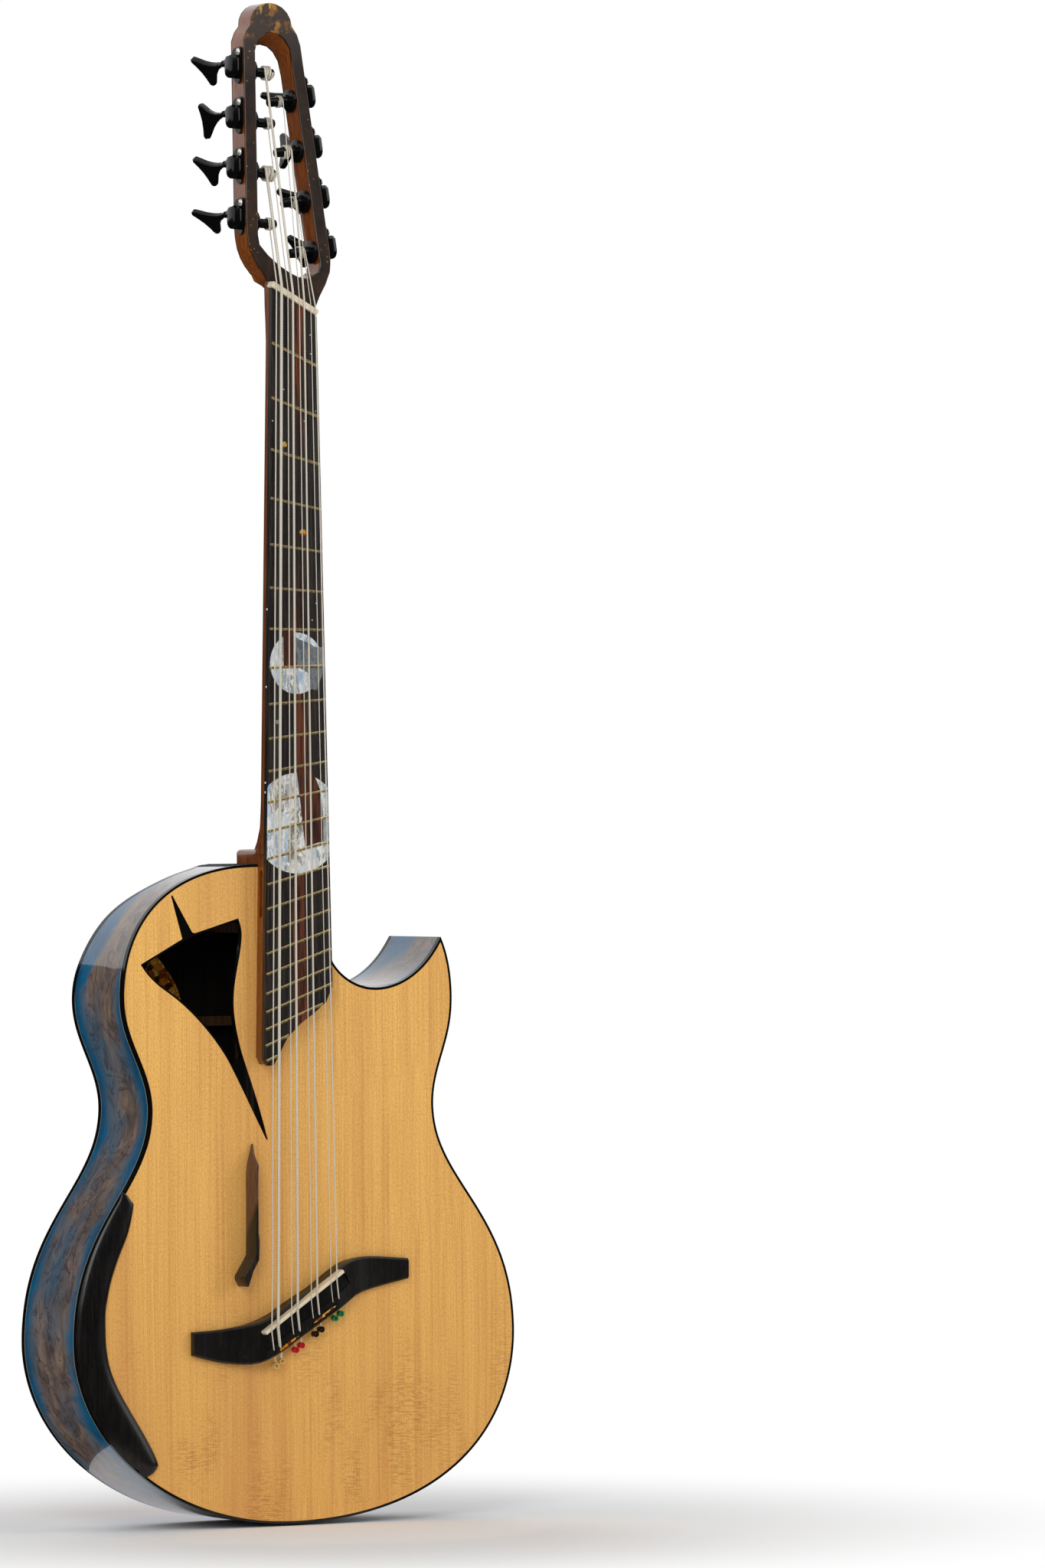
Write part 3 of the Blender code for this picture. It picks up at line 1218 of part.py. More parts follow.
def make_rests():
    """Thumb rest beside the strings and arm rest on the lower bout's edge."""
    thumb = [(-0.0366, -0.7049), (-0.0379, -0.7130), (-0.0396, -0.7180), (-0.0405, -0.7225), (-0.0411, -0.7290),
             (-0.0412, -0.7789), (-0.0402, -0.7852), (-0.0408, -0.8011), (-0.0465, -0.8107), (-0.0513, -0.8237),
             (-0.0529, -0.8205), (-0.0542, -0.8186), (-0.0547, -0.8148), (-0.0509, -0.8090), (-0.0463, -0.8020),
             (-0.0437, -0.7972), (-0.0434, -0.7789), (-0.0431, -0.7290), (-0.0424, -0.7230), (-0.0414, -0.7185),
             (-0.0397, -0.7132), (-0.0376, -0.7052)]

    def thumb_front(_, z):
        share = min(1.0, (thumb[0][1] - z) / THUMB_RISE)
        return -GAP - lerp(THUMB_TIP_HEIGHT, THUMB_HEIGHT, max(0.0, share) ** 2)

    rest = plate("thumb_rest", [thumb], thumb_front, lambda x, z: -GAP, EBONY)
    bevel = rest.modifiers.new("rounded", "BEVEL")
    bevel.width = THUMB_ROUND
    bevel.segments = 2
    bevel.limit_method = "ANGLE"
    bevel.angle_limit = math.radians(50)

    reach = ((0.1215, 0.0568), (0.0930, 0.0520), (0.0720, 0.0420), (0.0360, 0.0295), (0.0050, 0.0280),
             (-0.0200, 0.0312), (-0.0430, 0.0415), (-0.0660, 0.0565), (-0.0850, 0.0685), (-0.1040, 0.0785),
             (-0.1140, 0.0800))
    inner = [(-LOWER_Z - rise, deep - LOWER_BASS) for rise, deep in reach]
    outer = [p for p in inset(BODY, -ARM_OVERHANG) if p[0] < ARM_END - LOWER_BASS
             and LOWER_Z - ARM_LOW < p[1] < LOWER_Z + ARM_TOP]
    outer.sort(key=lambda p: -p[1])
    rings = []
    for x_out, z_out in outer:
        t = (z_out - outer[0][1]) / (outer[-1][1] - outer[0][1])
        z_in = lerp(-inner[0][0], -inner[-1][0], t)
        x_in = curve_value(inner, -z_in)
        swell = max(math.sin(math.pi * min(max(t, 0.03), 0.97)), 0.10) ** 0.5
        high = ARM_HEIGHT * swell
        a = Vector((x_out, z_out))
        b = Vector((x_in, z_in))
        if (b - a).length < 0.004:
            b = a + (b - a).normalized() * 0.004
        edge = ARM_EDGE_HEIGHT
        profile = ((0.0, GAP), (0.0, GAP + edge), (0.35, GAP + lerp(edge, high, 0.72)),
                   (0.75, GAP + high), (0.94, GAP + high * 0.82), (1.0, GAP + high * 0.40), (1.0, GAP))
        ring = []
        for share, lift in profile:
            spot = a.lerp(b, share)
            ring.append((spot.x, -lift, spot.y))
        rings.append(ring)
    loft("armrest", rings, EBONY)


def make_strings():
    """Each string is one tube from its ball end to the turns on its post."""
    least = 1.0
    for index, row in enumerate(STRINGS):
        radius = row["radius"]
        ball, saddle_back, saddle_front, nut_low, nut_high = string_seats(row)
        up = (saddle_back - ball).normalized()
        points = [(ball, BALL_RADIUS * 0.75), (ball + up * 0.0008, BALL_RADIUS),
                  (ball + up * (BALL_LENGTH - 0.0008), BALL_RADIUS), (ball + up * BALL_LENGTH, BALL_RADIUS * 0.75),
                  (ball + up * (BALL_LENGTH + 0.0003), radius)]
        points += [(spot, radius) for spot in (saddle_back, saddle_front, nut_low, nut_high)]

        side, number = row["side"], row["post"]
        frame = tuner_frame(side, number)
        outward = frame.col[0].to_3d()
        backward = frame.col[1].to_3d()
        upward = frame.col[2].to_3d() * side
        loops = TURNS_MAIN if row["main"] else TURNS_OCTAVE
        pitch = 2 * radius + TURN_GAP
        coil = (POST_RADIUS + GAP + radius) / math.cos(math.pi / TURN_POINTS)
        first = -(RAIL_WIDTH + (WRAP_BASS if side < 0 else WRAP_TREBLE)) + loops * pitch / 2
        centre = frame.translation + outward * first
        turns = []
        for k in range(loops * TURN_POINTS + 1):
            angle = 2 * math.pi * k / TURN_POINTS
            spot = centre - outward * pitch * k / TURN_POINTS
            turns.append(spot - backward * coil * math.cos(angle) + upward * coil * math.sin(angle))
        lead = (turns[0] - nut_high).normalized()
        points += [(turns[0] - lead * 0.004, radius)]
        points += [(spot, radius) for spot in turns]
        for k in range(len(turns) - TURN_POINTS):
            least = min(least, min((turns[k] - turns[m]).length - 2 * radius
                                   for m in range(k + TURN_POINTS - 2, min(k + TURN_POINTS + 3, len(turns)))))
        make_tube("string_%d" % (index + 1), points, radius)
    print("least gap between turns of a string: %.2f mm" % (least * 1000))


def make_tube(name, points, radius):
    curve = bpy.data.curves.new(name, "CURVE")
    curve.dimensions = "3D"
    curve.bevel_depth = radius
    curve.bevel_resolution = 1
    curve.use_fill_caps = True
    spline = curve.splines.new("POLY")
    spline.points.add(len(points) - 1)
    for target, (spot, thick) in zip(spline.points, points):
        target.co = (*spot, 1.0)
        target.radius = thick / radius
    return place(bpy.data.objects.new(name, curve), STRING_STEEL)


def housing_mesh(up):
    """Plate, gear cover and rail bushing of a tuning machine, hollow for the gear and the worm."""
    worm_z = (GEAR_RADIUS + GEAR_TOOTH + WORM_RADIUS + GAP) * up
    start = GAP
    half = PLATE_HALF_WIDTH
    tab = -PLATE_BOTTOM
    plate_loop = [(-half, PLATE_TOP * 0.90), (-half * 0.80, PLATE_TOP), (half * 0.40, PLATE_TOP),
                  (half, PLATE_TOP * 0.78), (half, tab * 0.20), (half * 0.10, tab * 0.86),
                  (-half * 0.25, tab), (-half * 0.62, tab * 0.90), (-half, tab * 0.30)]

    def slab(name, loop, low, high):
        rings = [[(x, y, z * up) for y, z in loop] for x in (low, high)]
        return loft(name, rings, None, CUTTERS)

    body = slab("housing", plate_loop, start, start + PLATE_THICKNESS)
    cover_half = GEAR_RADIUS + GEAR_TOOTH + COVER_WALL + PLAY
    cover_top = abs(worm_z) + WORM_RADIUS + COVER_WALL + PLAY
    dome = []
    for k in range(9):
        angle = math.pi + math.pi * k / 8
        dome.append((cover_half * math.cos(angle), cover_half * math.sin(angle)))
    dome += [(cover_half, cover_top - 0.003), (cover_half - 0.003, cover_top),
             (-cover_half + 0.003, cover_top), (-cover_half, cover_top - 0.003)]
    cover = slab("cover", dome, start + PLATE_THICKNESS * 0.5, start + COVER_THICKNESS)
    bevel = cover.modifiers.new("rounded", "BEVEL")
    bevel.width = COVER_ROUND
    bevel.segments = 2
    bevel.limit_method = "ANGLE"
    bevel.angle_limit = math.radians(60)
    tube_radius = POST_RADIUS + PLAY + BUSH_WALL
    inner_end = -(RAIL_WIDTH + FLANGE_THICKNESS + GAP)
    tube = turned("tube", ((inner_end, FLANGE_RADIUS * 0.9), (inner_end + 0.0004, FLANGE_RADIUS),
                           (inner_end + FLANGE_THICKNESS, FLANGE_RADIUS),
                           (inner_end + FLANGE_THICKNESS, tube_radius),
                           (start + PLATE_THICKNESS * 0.6, tube_radius)), "x", 12, None)
    boolean(body, cover, "UNION")
    boolean(body, tube, "UNION")
    gear_room = turned("gear_room", ((start + PLATE_THICKNESS, GEAR_RADIUS + GEAR_TOOTH + PLAY),
                                     (start + COVER_THICKNESS - COVER_WALL, GEAR_RADIUS + GEAR_TOOTH + PLAY)),
                       "x", 12, None)
    worm_x = start + PLATE_THICKNESS + PLAY + GEAR_THICKNESS / 2
    boss = turned("boss", ((0.004, BOSS_RADIUS), (BOSS_END, BOSS_RADIUS)), "y", 8, None)
    moved(boss, worm_x, 0.0, worm_z)
    screw_z = (PLATE_TOP - SCREW_RADIUS - 0.0012) * up
    screw = turned("screw", ((start + PLATE_THICKNESS * 0.5, SCREW_RADIUS),
                             (start + PLATE_THICKNESS + SCREW_HEIGHT, SCREW_RADIUS)), "x", 10, None)
    moved(screw, 0.0, -SCREW_FORWARD, screw_z)
    boolean(body, boss, "UNION")
    boolean(body, screw, "UNION")
    bore = turned("post_bore", ((inner_end - 0.002, POST_RADIUS + PLAY),
                                (start + PLATE_THICKNESS + 0.001, POST_RADIUS + PLAY)), "x", 12, None)
    worm_room = turned("worm_room", ((-WORM_LENGTH / 2 - PLAY, WORM_RADIUS + PLAY),
                                     (WORM_LENGTH / 2 + PLAY, WORM_RADIUS + PLAY)), "y", 8, None)
    shaft_room = turned("shaft_room", ((0.0, SHAFT_RADIUS + PLAY), (0.020, SHAFT_RADIUS + PLAY)), "y", 8, None)
    moved(worm_room, worm_x, 0.0, worm_z)
    moved(shaft_room, worm_x, 0.0, worm_z)
    for cutter in (gear_room, bore, worm_room, shaft_room):
        boolean(body, cutter)
    baked(body)
    for extra in (cover, tube, boss, screw, gear_room, bore, worm_room, shaft_room):
        bpy.data.objects.remove(extra, do_unlink=True)
    mesh = body.data
    bpy.data.objects.remove(body, do_unlink=True)
    mesh.shade_smooth()
    mesh.set_sharp_from_angle(angle=math.radians(35))
    return mesh, worm_x, worm_z


def post_mesh(name):
    """Winding post with its slotted end, and the gear inside the cover."""
    start = GAP + PLATE_THICKNESS + PLAY
    tip = -(RAIL_WIDTH + POST_REACH)
    post = turned(name, ((tip, POST_RADIUS - 0.0006), (tip + 0.0006, POST_RADIUS),
                         (start + 0.001, POST_RADIUS)), "x", 12, None)
    gear_loop = []
    for k in range(GEAR_TEETH):
        for share, radius in ((0.00, GEAR_RADIUS), (0.50, GEAR_RADIUS + GEAR_TOOTH)):
            angle = 2 * math.pi * (k + share) / GEAR_TEETH
            gear_loop.append((radius * math.cos(angle), radius * math.sin(angle)))
    gear = loft("gear", [[(x, y, z) for y, z in gear_loop] for x in (start, start + GEAR_THICKNESS)],
                None, CUTTERS, smooth=False)
    boolean(post, gear, "UNION")
    slot = box("post_slot", (tip - 0.001, -POST_SLOT / 2, -0.010), (tip + 0.0030, POST_SLOT / 2, 0.010))
    boolean(post, slot)
    baked(post)
    for extra in (gear, slot):
        bpy.data.objects.remove(extra, do_unlink=True)
    mesh = post.data
    bpy.data.objects.remove(post, do_unlink=True)
    return mesh


def key_mesh(name):
    """Worm, shaft and fan-shaped key, on the worm's own axis along y."""
    profile = [(-WORM_LENGTH / 2, WORM_RADIUS * 0.8)]
    rib_count = 4
    for k in range(rib_count):
        low = lerp(-WORM_LENGTH / 2, WORM_LENGTH / 2, (k + 0.25) / rib_count)
        high = lerp(-WORM_LENGTH / 2, WORM_LENGTH / 2, (k + 0.75) / rib_count)
        profile += [(low, WORM_RADIUS), (high, WORM_RADIUS * 0.8)]
    ring = KEY_START - 0.0050
    profile += [(WORM_LENGTH / 2, SHAFT_RADIUS), (ring - 0.0018, SHAFT_RADIUS), (ring - 0.0016, SHAFT_RADIUS * 1.5),
                (ring, SHAFT_RADIUS * 1.6), (ring + 0.0002, SHAFT_RADIUS * 1.15),
                (KEY_START + 0.006, SHAFT_RADIUS * 1.3)]
    key = turned(name, profile, "y", 8, None)
    half = KEY_HALF_HEIGHT
    reach = KEY_LENGTH
    right = [(KEY_NECK * 0.75, 0.0), (KEY_NECK, 0.16 * reach), (KEY_NECK * 1.6, 0.34 * reach),
             (half * 0.52, 0.54 * reach), (half * 0.80, 0.72 * reach), (half, 0.86 * reach),
             (half * 0.98, 0.95 * reach), (half * 0.84, reach), (half * 0.40, 0.95 * reach)]
    loop = right + [(0.0, 0.93 * reach)] + [(-z, y) for z, y in right[::-1]]
    wing = loft("wing", [[(x, KEY_START + y, z) for z, y in loop] for x in (-KEY_THICKNESS / 2, KEY_THICKNESS / 2)],
                None, CUTTERS)
    bevel = wing.modifiers.new("rounded", "BEVEL")
    bevel.width = 0.0011
    bevel.segments = 1
    bevel.limit_method = "ANGLE"
    bevel.angle_limit = math.radians(60)
    boolean(key, wing, "UNION")
    baked(key)
    bpy.data.objects.remove(wing, do_unlink=True)
    mesh = key.data
    bpy.data.objects.remove(key, do_unlink=True)
    mesh.shade_smooth()
    mesh.set_sharp_from_angle(angle=math.radians(35))
    return mesh


def make_tuners():
    """Eight tuning machines: four on each rail of the headstock."""
    post = post_mesh("post")
    key = key_mesh("key")
    for side, word in ((-1, "bass"), (1, "treble")):
        housing, worm_x, worm_z = housing_mesh(side)
        for number in range(4):
            frame = tuner_frame(side, number)
            label = "%s_%d" % (word, number + 1)
            shell = place(bpy.data.objects.new("tuner_housing_" + label, housing), TUNER_BLACK)
            shell.matrix_world = frame
            roller = place(bpy.data.objects.new("tuner_post_" + label, post), STEEL)
            roller.matrix_world = frame
            knob = place(bpy.data.objects.new("tuner_key_" + label, key), TUNER_BLACK)
            turn = (KEY_TURNS_BASS if side < 0 else KEY_TURNS_TREBLE)[number]
            knob.matrix_world = (frame @ Matrix.Translation((worm_x, 0.0, worm_z))
                                 @ Matrix.Rotation(math.radians(turn), 4, "Y"))


def make_end_plug(sides, tail):
    """Ebony plug through the side into the tail block, with a thin flange outside."""
    middle = depth_at(TAIL_Z) / 2
    seat = TAIL_Z - GAP
    plug = turned("end_plug", ((seat + PLUG_LENGTH, PLUG_RADIUS), (seat + 0.0001, PLUG_RADIUS),
                               (seat, PLUG_FLANGE_RADIUS), (seat - PLUG_FLANGE, PLUG_FLANGE_RADIUS)),
                  "z", 20, EBONY, PARTS)
    moved(plug, 0.0, middle, 0.0)
    hole = turned("plug_hole", ((TAIL_Z - 0.01, PLUG_RADIUS + GAP), (seat + PLUG_LENGTH + GAP, PLUG_RADIUS + GAP)),
                  "z", 20, None)
    moved(hole, 0.0, middle, 0.0)
    boolean(sides, hole)
    boolean(tail, hole)


def main():
    sides, tail, back, back_at = make_body()
    make_back_inlay(back, back_at)
    make_neck()
    make_veneers()
    make_fretboard()
    make_bridge()
    make_rests()
    make_end_plug(sides, tail)
    make_tuners()
    make_strings()


main()
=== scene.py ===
"""Looks of an acoustic bass guitar with eight strings, built round its packed solids.

Metres, +Z up along the neck, -Y in front of the soundboard, +X on the treble side.
"""

import json
import math

import bmesh
import bpy
from bpy.props import FloatProperty, FloatVectorProperty, IntProperty, PointerProperty
from bpy.types import Operator, Panel, PropertyGroup
from mathutils import Matrix, Vector
from mathutils.bvhtree import BVHTree

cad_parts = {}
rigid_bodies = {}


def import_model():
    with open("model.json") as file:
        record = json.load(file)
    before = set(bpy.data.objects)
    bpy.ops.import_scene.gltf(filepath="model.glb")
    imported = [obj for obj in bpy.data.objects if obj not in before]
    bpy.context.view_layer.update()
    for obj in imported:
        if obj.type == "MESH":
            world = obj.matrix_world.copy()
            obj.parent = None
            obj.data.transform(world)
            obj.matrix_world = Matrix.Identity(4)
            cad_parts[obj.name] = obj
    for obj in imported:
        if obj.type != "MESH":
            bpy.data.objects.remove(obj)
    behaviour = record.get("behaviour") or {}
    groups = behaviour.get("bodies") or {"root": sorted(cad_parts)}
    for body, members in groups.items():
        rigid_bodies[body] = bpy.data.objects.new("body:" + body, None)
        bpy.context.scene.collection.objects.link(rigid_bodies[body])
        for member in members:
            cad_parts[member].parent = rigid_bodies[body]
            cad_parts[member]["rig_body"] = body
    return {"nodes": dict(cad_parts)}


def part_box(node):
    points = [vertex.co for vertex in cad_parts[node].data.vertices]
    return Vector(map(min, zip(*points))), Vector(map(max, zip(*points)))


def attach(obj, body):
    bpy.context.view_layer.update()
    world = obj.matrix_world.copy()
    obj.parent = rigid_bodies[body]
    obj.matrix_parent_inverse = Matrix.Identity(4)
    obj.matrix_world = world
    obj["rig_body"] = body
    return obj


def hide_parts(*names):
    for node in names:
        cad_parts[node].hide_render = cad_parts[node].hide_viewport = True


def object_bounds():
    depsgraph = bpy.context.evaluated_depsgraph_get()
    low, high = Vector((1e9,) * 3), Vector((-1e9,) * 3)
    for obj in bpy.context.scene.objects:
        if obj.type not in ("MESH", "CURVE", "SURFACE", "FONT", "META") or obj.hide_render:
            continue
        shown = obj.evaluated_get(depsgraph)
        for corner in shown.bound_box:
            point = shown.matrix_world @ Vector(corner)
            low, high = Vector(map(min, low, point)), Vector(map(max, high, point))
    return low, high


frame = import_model()
NODES = frame["nodes"]
CAD_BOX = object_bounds()

bl_info = {
    "name": "Acoustic Bass Looks",
    "version": (1, 0, 0),
    "blender": (4, 5, 0),
    "location": "3D View > Sidebar > Bass",
    "description": "Woods, lacquer, amber, strings and studio for an eight-string acoustic bass",
    "category": "Object",
}

ROOT = "instrument"
SIDES = ("bass", "treble")
TUNERS = [(side, number) for side in SIDES for number in (1, 2, 3, 4)]

FRET_HEIGHT = 0.0011
FRET_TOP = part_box("fretboard")[0].y
BOARD_TOP = FRET_TOP + FRET_HEIGHT
BODY_LOW, BODY_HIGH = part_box("sides")
DEPTH_NECK = 0.0840
DEPTH_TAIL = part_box("back_plate")[1].y


def srgb(red, green, blue):
    """A colour given in 0 to 255 as the linear values that sockets take."""
    def linear(part):
        part = part / 255
        return part / 12.92 if part <= 0.04045 else ((part + 0.055) / 1.055) ** 2.4
    return linear(red), linear(green), linear(blue)


def colour_property(name, description, default):
    return FloatVectorProperty(
        name=name, description=description, default=default, size=3, subtype="COLOR", min=0, max=1)


def length_property(name, description, default):
    return FloatProperty(name=name, description=description, default=default, min=0, unit="LENGTH", precision=5)


class BassColours(PropertyGroup):
    """Colours of the woods, the lacquer and the fittings."""
    top_light: colour_property("Top light", "Early wood of the soundboard", srgb(252, 197, 107))
    top_dark: colour_property("Top dark", "Growth lines of the soundboard", srgb(206, 142, 70))
    burl_light: colour_property("Burl light", "Palest part of the burl's middle", srgb(240, 168, 106))
    burl_brown: colour_property("Burl brown", "Brown figure of the burl's middle", srgb(206, 124, 66))
    stain_blue: colour_property("Blue stain", "Stain round the back's burl", srgb(4, 100, 188))
    stain_deep: colour_property("Deep blue stain", "Stain at the back's edges", srgb(2, 56, 124))
    side_blue: colour_property("Side stain", "Stain along both edges of the sides", srgb(0, 98, 140))
    side_brown: colour_property("Side brown", "Brown middle of the sides", srgb(128, 108, 94))
    neck_brown: colour_property("Neck", "Reddish brown wood of the neck", srgb(150, 80, 27))
    neck_dark: colour_property("Neck grain", "Darker grain of the neck", srgb(102, 50, 15))
    ebony: colour_property("Ebony", "Fretboard, bridge and rests", srgb(13, 12, 12))
    amber: colour_property("Amber", "Amber chips", srgb(214, 128, 22))
    bone: colour_property("Bone", "Nut and saddle", srgb(236, 226, 200))
    brass: colour_property("Fret metal", "Golden frets", srgb(240, 216, 158))
    black: colour_property("Black lacquer", "Tuning machines and bindings", srgb(11, 11, 12))
    strings: colour_property("Strings", "Wound steel strings", srgb(232, 226, 210))


class BassSizes(PropertyGroup):
    """Sizes of the trim that the solids leave out."""
    edge_round: length_property("Edge round", "Rounding of lacquered edges", 0.0006)
    rest_crown: length_property("Arm rest crown", "Height of the arm rest's crown", 0.0058)
    pearl_proud: length_property("Pearl height", "How far board inlays stand over the board", 0.00004)


class BassStudio(PropertyGroup):
    """Camera, floor and lamps."""
    distance: length_property("Distance", "From the camera to the neck", 9.0)
    pixel: length_property("Pixel", "Real size of a pixel at the neck", 0.00064)
    picture_width: IntProperty(name="Width", description="Picture width in pixels", default=1365, min=1)
    picture_height: IntProperty(name="Height", description="Picture height in pixels", default=2048, min=1)
    floor_size: length_property("Floor", "Side of the floor", 12.0)
    drape_radius: length_property("Drape radius", "From the object to the dark cloths", 7.5)
    drape_top: FloatProperty(name="Drape top", description="Height of the dark cloths' upper edge", default=0.55)
    front_top: FloatProperty(name="Front top", description="Height of the front cloths' upper edge", default=2.4)
    card_top: FloatProperty(name="Card top", description="Height of the rear cloth's upper edge", default=-0.46)
    lamp_level: FloatProperty(name="Lamps", description="Strength of the lamps together", default=1.0, min=0)
    world_level: FloatProperty(name="Fill", description="Strength of the even light", default=0.62, min=0)


def colours():
    return bpy.context.scene.bass_colours


def sizes():
    return bpy.context.scene.bass_sizes


class Finish:
    """A material whose nodes are added from left to right."""

    def __init__(self, name):
        self.material = bpy.data.materials.new(name)
        self.material.use_nodes = True
        self.tree = self.material.node_tree
        self.shader = self.tree.nodes["Principled BSDF"]
        self.place = self.add("ShaderNodeTexCoord").outputs["Object"]

    def add(self, kind, inputs=(), **settings):
        """A node of that kind, with its settings and its inputs by number or name."""
        node = self.tree.nodes.new(kind)
        for key, value in settings.items():
            setattr(node, key, value)
        for key, value in dict(inputs).items():
            self.put(node.inputs[key], value)
        return node

    def put(self, socket, value):
        """A link where value is a socket, and otherwise the socket's own value."""
        if isinstance(value, bpy.types.NodeSocket):
            self.tree.links.new(value, socket)
        elif hasattr(value, "__len__") and len(value) == 3 and socket.type == "RGBA":
            socket.default_value = (*value, 1.0)
        else:
            socket.default_value = value

    def math(self, operation, first, second=0.0, clamp=False):
        node = self.add("ShaderNodeMath", {0: first, 1: second}, operation=operation, use_clamp=clamp)
        return node.outputs[0]

    def split(self, vector=None):
        """The three axes of a vector, the place by default."""
        return self.add("ShaderNodeSeparateXYZ", {0: vector or self.place}).outputs

    def join(self, x, y, z):
        return self.add("ShaderNodeCombineXYZ", {0: x, 1: y, 2: z}).outputs[0]

    def stretched(self, stretch, vector=None):
        node = self.add("ShaderNodeVectorMath", {0: vector or self.place, 1: stretch}, operation="MULTIPLY")
        return node.outputs[0]

    def noise(self, size, detail=2.0, rough=0.5, twist=0.0, stretch=(1, 1, 1), vector=None, colour=False):
        """Cloudy noise whose lumps are about size across."""
        place = self.stretched(stretch, vector)
        node = self.add("ShaderNodeTexNoise", {
            "Vector": place, "Scale": 1 / size, "Detail": detail, "Roughness": rough, "Distortion": twist})
        return node.outputs["Color" if colour else "Fac"]

    def cells(self, size, feature="F1", stretch=(1, 1, 1), vector=None, random=1.0):
        """A pattern of chips about size across."""
        place = self.stretched(stretch, vector)
        return self.add("ShaderNodeTexVoronoi", {
            "Vector": place, "Scale": 1 / size, "Randomness": random}, feature=feature)

    def ramp(self, factor, stops, blend="LINEAR"):
        """Colours or levels along factor; a stop is a position and a colour or a level."""
        node = self.add("ShaderNodeValToRGB", {"Fac": factor})
        node.color_ramp.interpolation = blend
        elements = node.color_ramp.elements
        while len(elements) < len(stops):
            elements.new(0.5)
        for element, (spot, value) in zip(elements, stops):
            element.position = spot
            element.color = (*value, 1.0) if hasattr(value, "__len__") else (value, value, value, 1.0)
        return node.outputs["Color"]

    def step(self, value, low, high):
        """0 below low, 1 above high and smooth between."""
        node = self.add("ShaderNodeMapRange", {
            "Value": value, "From Min": low, "From Max": high}, interpolation_type="SMOOTHSTEP")
        return node.outputs[0]

    def mix(self, factor, first, second, mode="MIX"):
        node = self.add("ShaderNodeMix", {0: factor, 6: first, 7: second}, data_type="RGBA", blend_type=mode)
        return node.outputs[2]

    def warp(self, size, amount, vector=None, detail=2.0):
        """The place pushed about by noise."""
        vector = vector or self.place
        push = self.noise(size, detail, vector=vector, colour=True)
        centred = self.add("ShaderNodeVectorMath", {0: push, 1: (0.5, 0.5, 0.5)}, operation="SUBTRACT").outputs[0]
        scaled = self.add("ShaderNodeVectorMath", {0: centred, 3: amount}, operation="SCALE").outputs[0]
        return self.add("ShaderNodeVectorMath", {0: vector, 1: scaled}).outputs[0]

    def bump(self, height, depth, strength=1.0):
        node = self.add("ShaderNodeBump", {"Height": height, "Distance": depth, "Strength": strength})
        return node.outputs["Normal"]

    def done(self, colour, **sockets):
        """Sets the shader's sockets and returns the material."""
        self.put(self.shader.inputs["Base Color"], colour)
        for name, value in sockets.items():
            self.put(self.shader.inputs[name.replace("_", " ").title().replace("Ior", "IOR")], value)
        return self.material


def soundboard_finish():
    """Honey-coloured straight-grained top with hair-fine lines, warm bands, stipple and cross silk."""
    finish = Finish("soundboard_wood")
    shade = colours()
    x, _, z = finish.split()
    line = finish.warp(0.25, 0.007)
    rings = finish.noise(0.0010, 2, 0.55, vector=line, stretch=(1, 1, 0.006))
    year = finish.noise(0.0042, 2, 0.5, vector=line, stretch=(1, 1, 0.006))
    bands = finish.noise(0.021, 2, 0.5, vector=line, stretch=(1, 1, 0.03))
    wide = finish.noise(0.085, 2, 0.5, vector=line, stretch=(1, 1, 0.12))
    stipple = finish.noise(0.0013, 3, 0.7, stretch=(1, 1, 0.55))
    silk = finish.noise(0.0013, 2, 0.6, stretch=(0.13, 1, 1), twist=0.5)
    low = finish.math("SUBTRACT", 1.0, finish.step(z, -0.985, -0.800))
    patch = finish.step(finish.noise(0.075, 2, 0.6, stretch=(1.6, 1, 0.6)), 0.46, 0.66)
    where = finish.math("MULTIPLY", patch, finish.math("ADD", finish.math("MULTIPLY", low, 0.75), 0.15))
    base = finish.mix(finish.math("MULTIPLY", finish.step(rings, 0.40, 0.62), 0.30), shade.top_light, shade.top_dark)
    base = finish.mix(finish.math("MULTIPLY", finish.step(year, 0.52, 0.66), 0.26), base, srgb(196, 132, 64))
    base = finish.mix(finish.math("MULTIPLY", finish.step(bands, 0.44, 0.72), 0.32), base, srgb(214, 146, 78))
    base = finish.mix(finish.math("MULTIPLY", finish.step(wide, 0.46, 0.74), 0.34), base, srgb(206, 140, 84))
    base = finish.mix(finish.math("MULTIPLY", finish.step(stipple, 0.44, 0.60), 0.24), base, srgb(156, 98, 44))
    ripple = finish.math("MULTIPLY", finish.step(silk, 0.44, 0.60), where)
    base = finish.mix(finish.math("MULTIPLY", ripple, 0.55), base, srgb(150, 92, 40))
    # Darker towards the bottom: painted shade, standing in for the sheen on the upper part of the top.
    painted_low_shade = finish.math("SUBTRACT", 1.0, finish.step(z, -1.000, -0.520))
    colour = finish.mix(finish.math("MULTIPLY", painted_low_shade, 0.26), base, srgb(190, 124, 60))
    rough = finish.math("ADD", finish.math("MULTIPLY", stipple, 0.12), 0.36)
    return finish.done(
        colour, roughness=rough, normal=finish.bump(rings, 0.00002, 0.5), specular_ior_level=0.26)


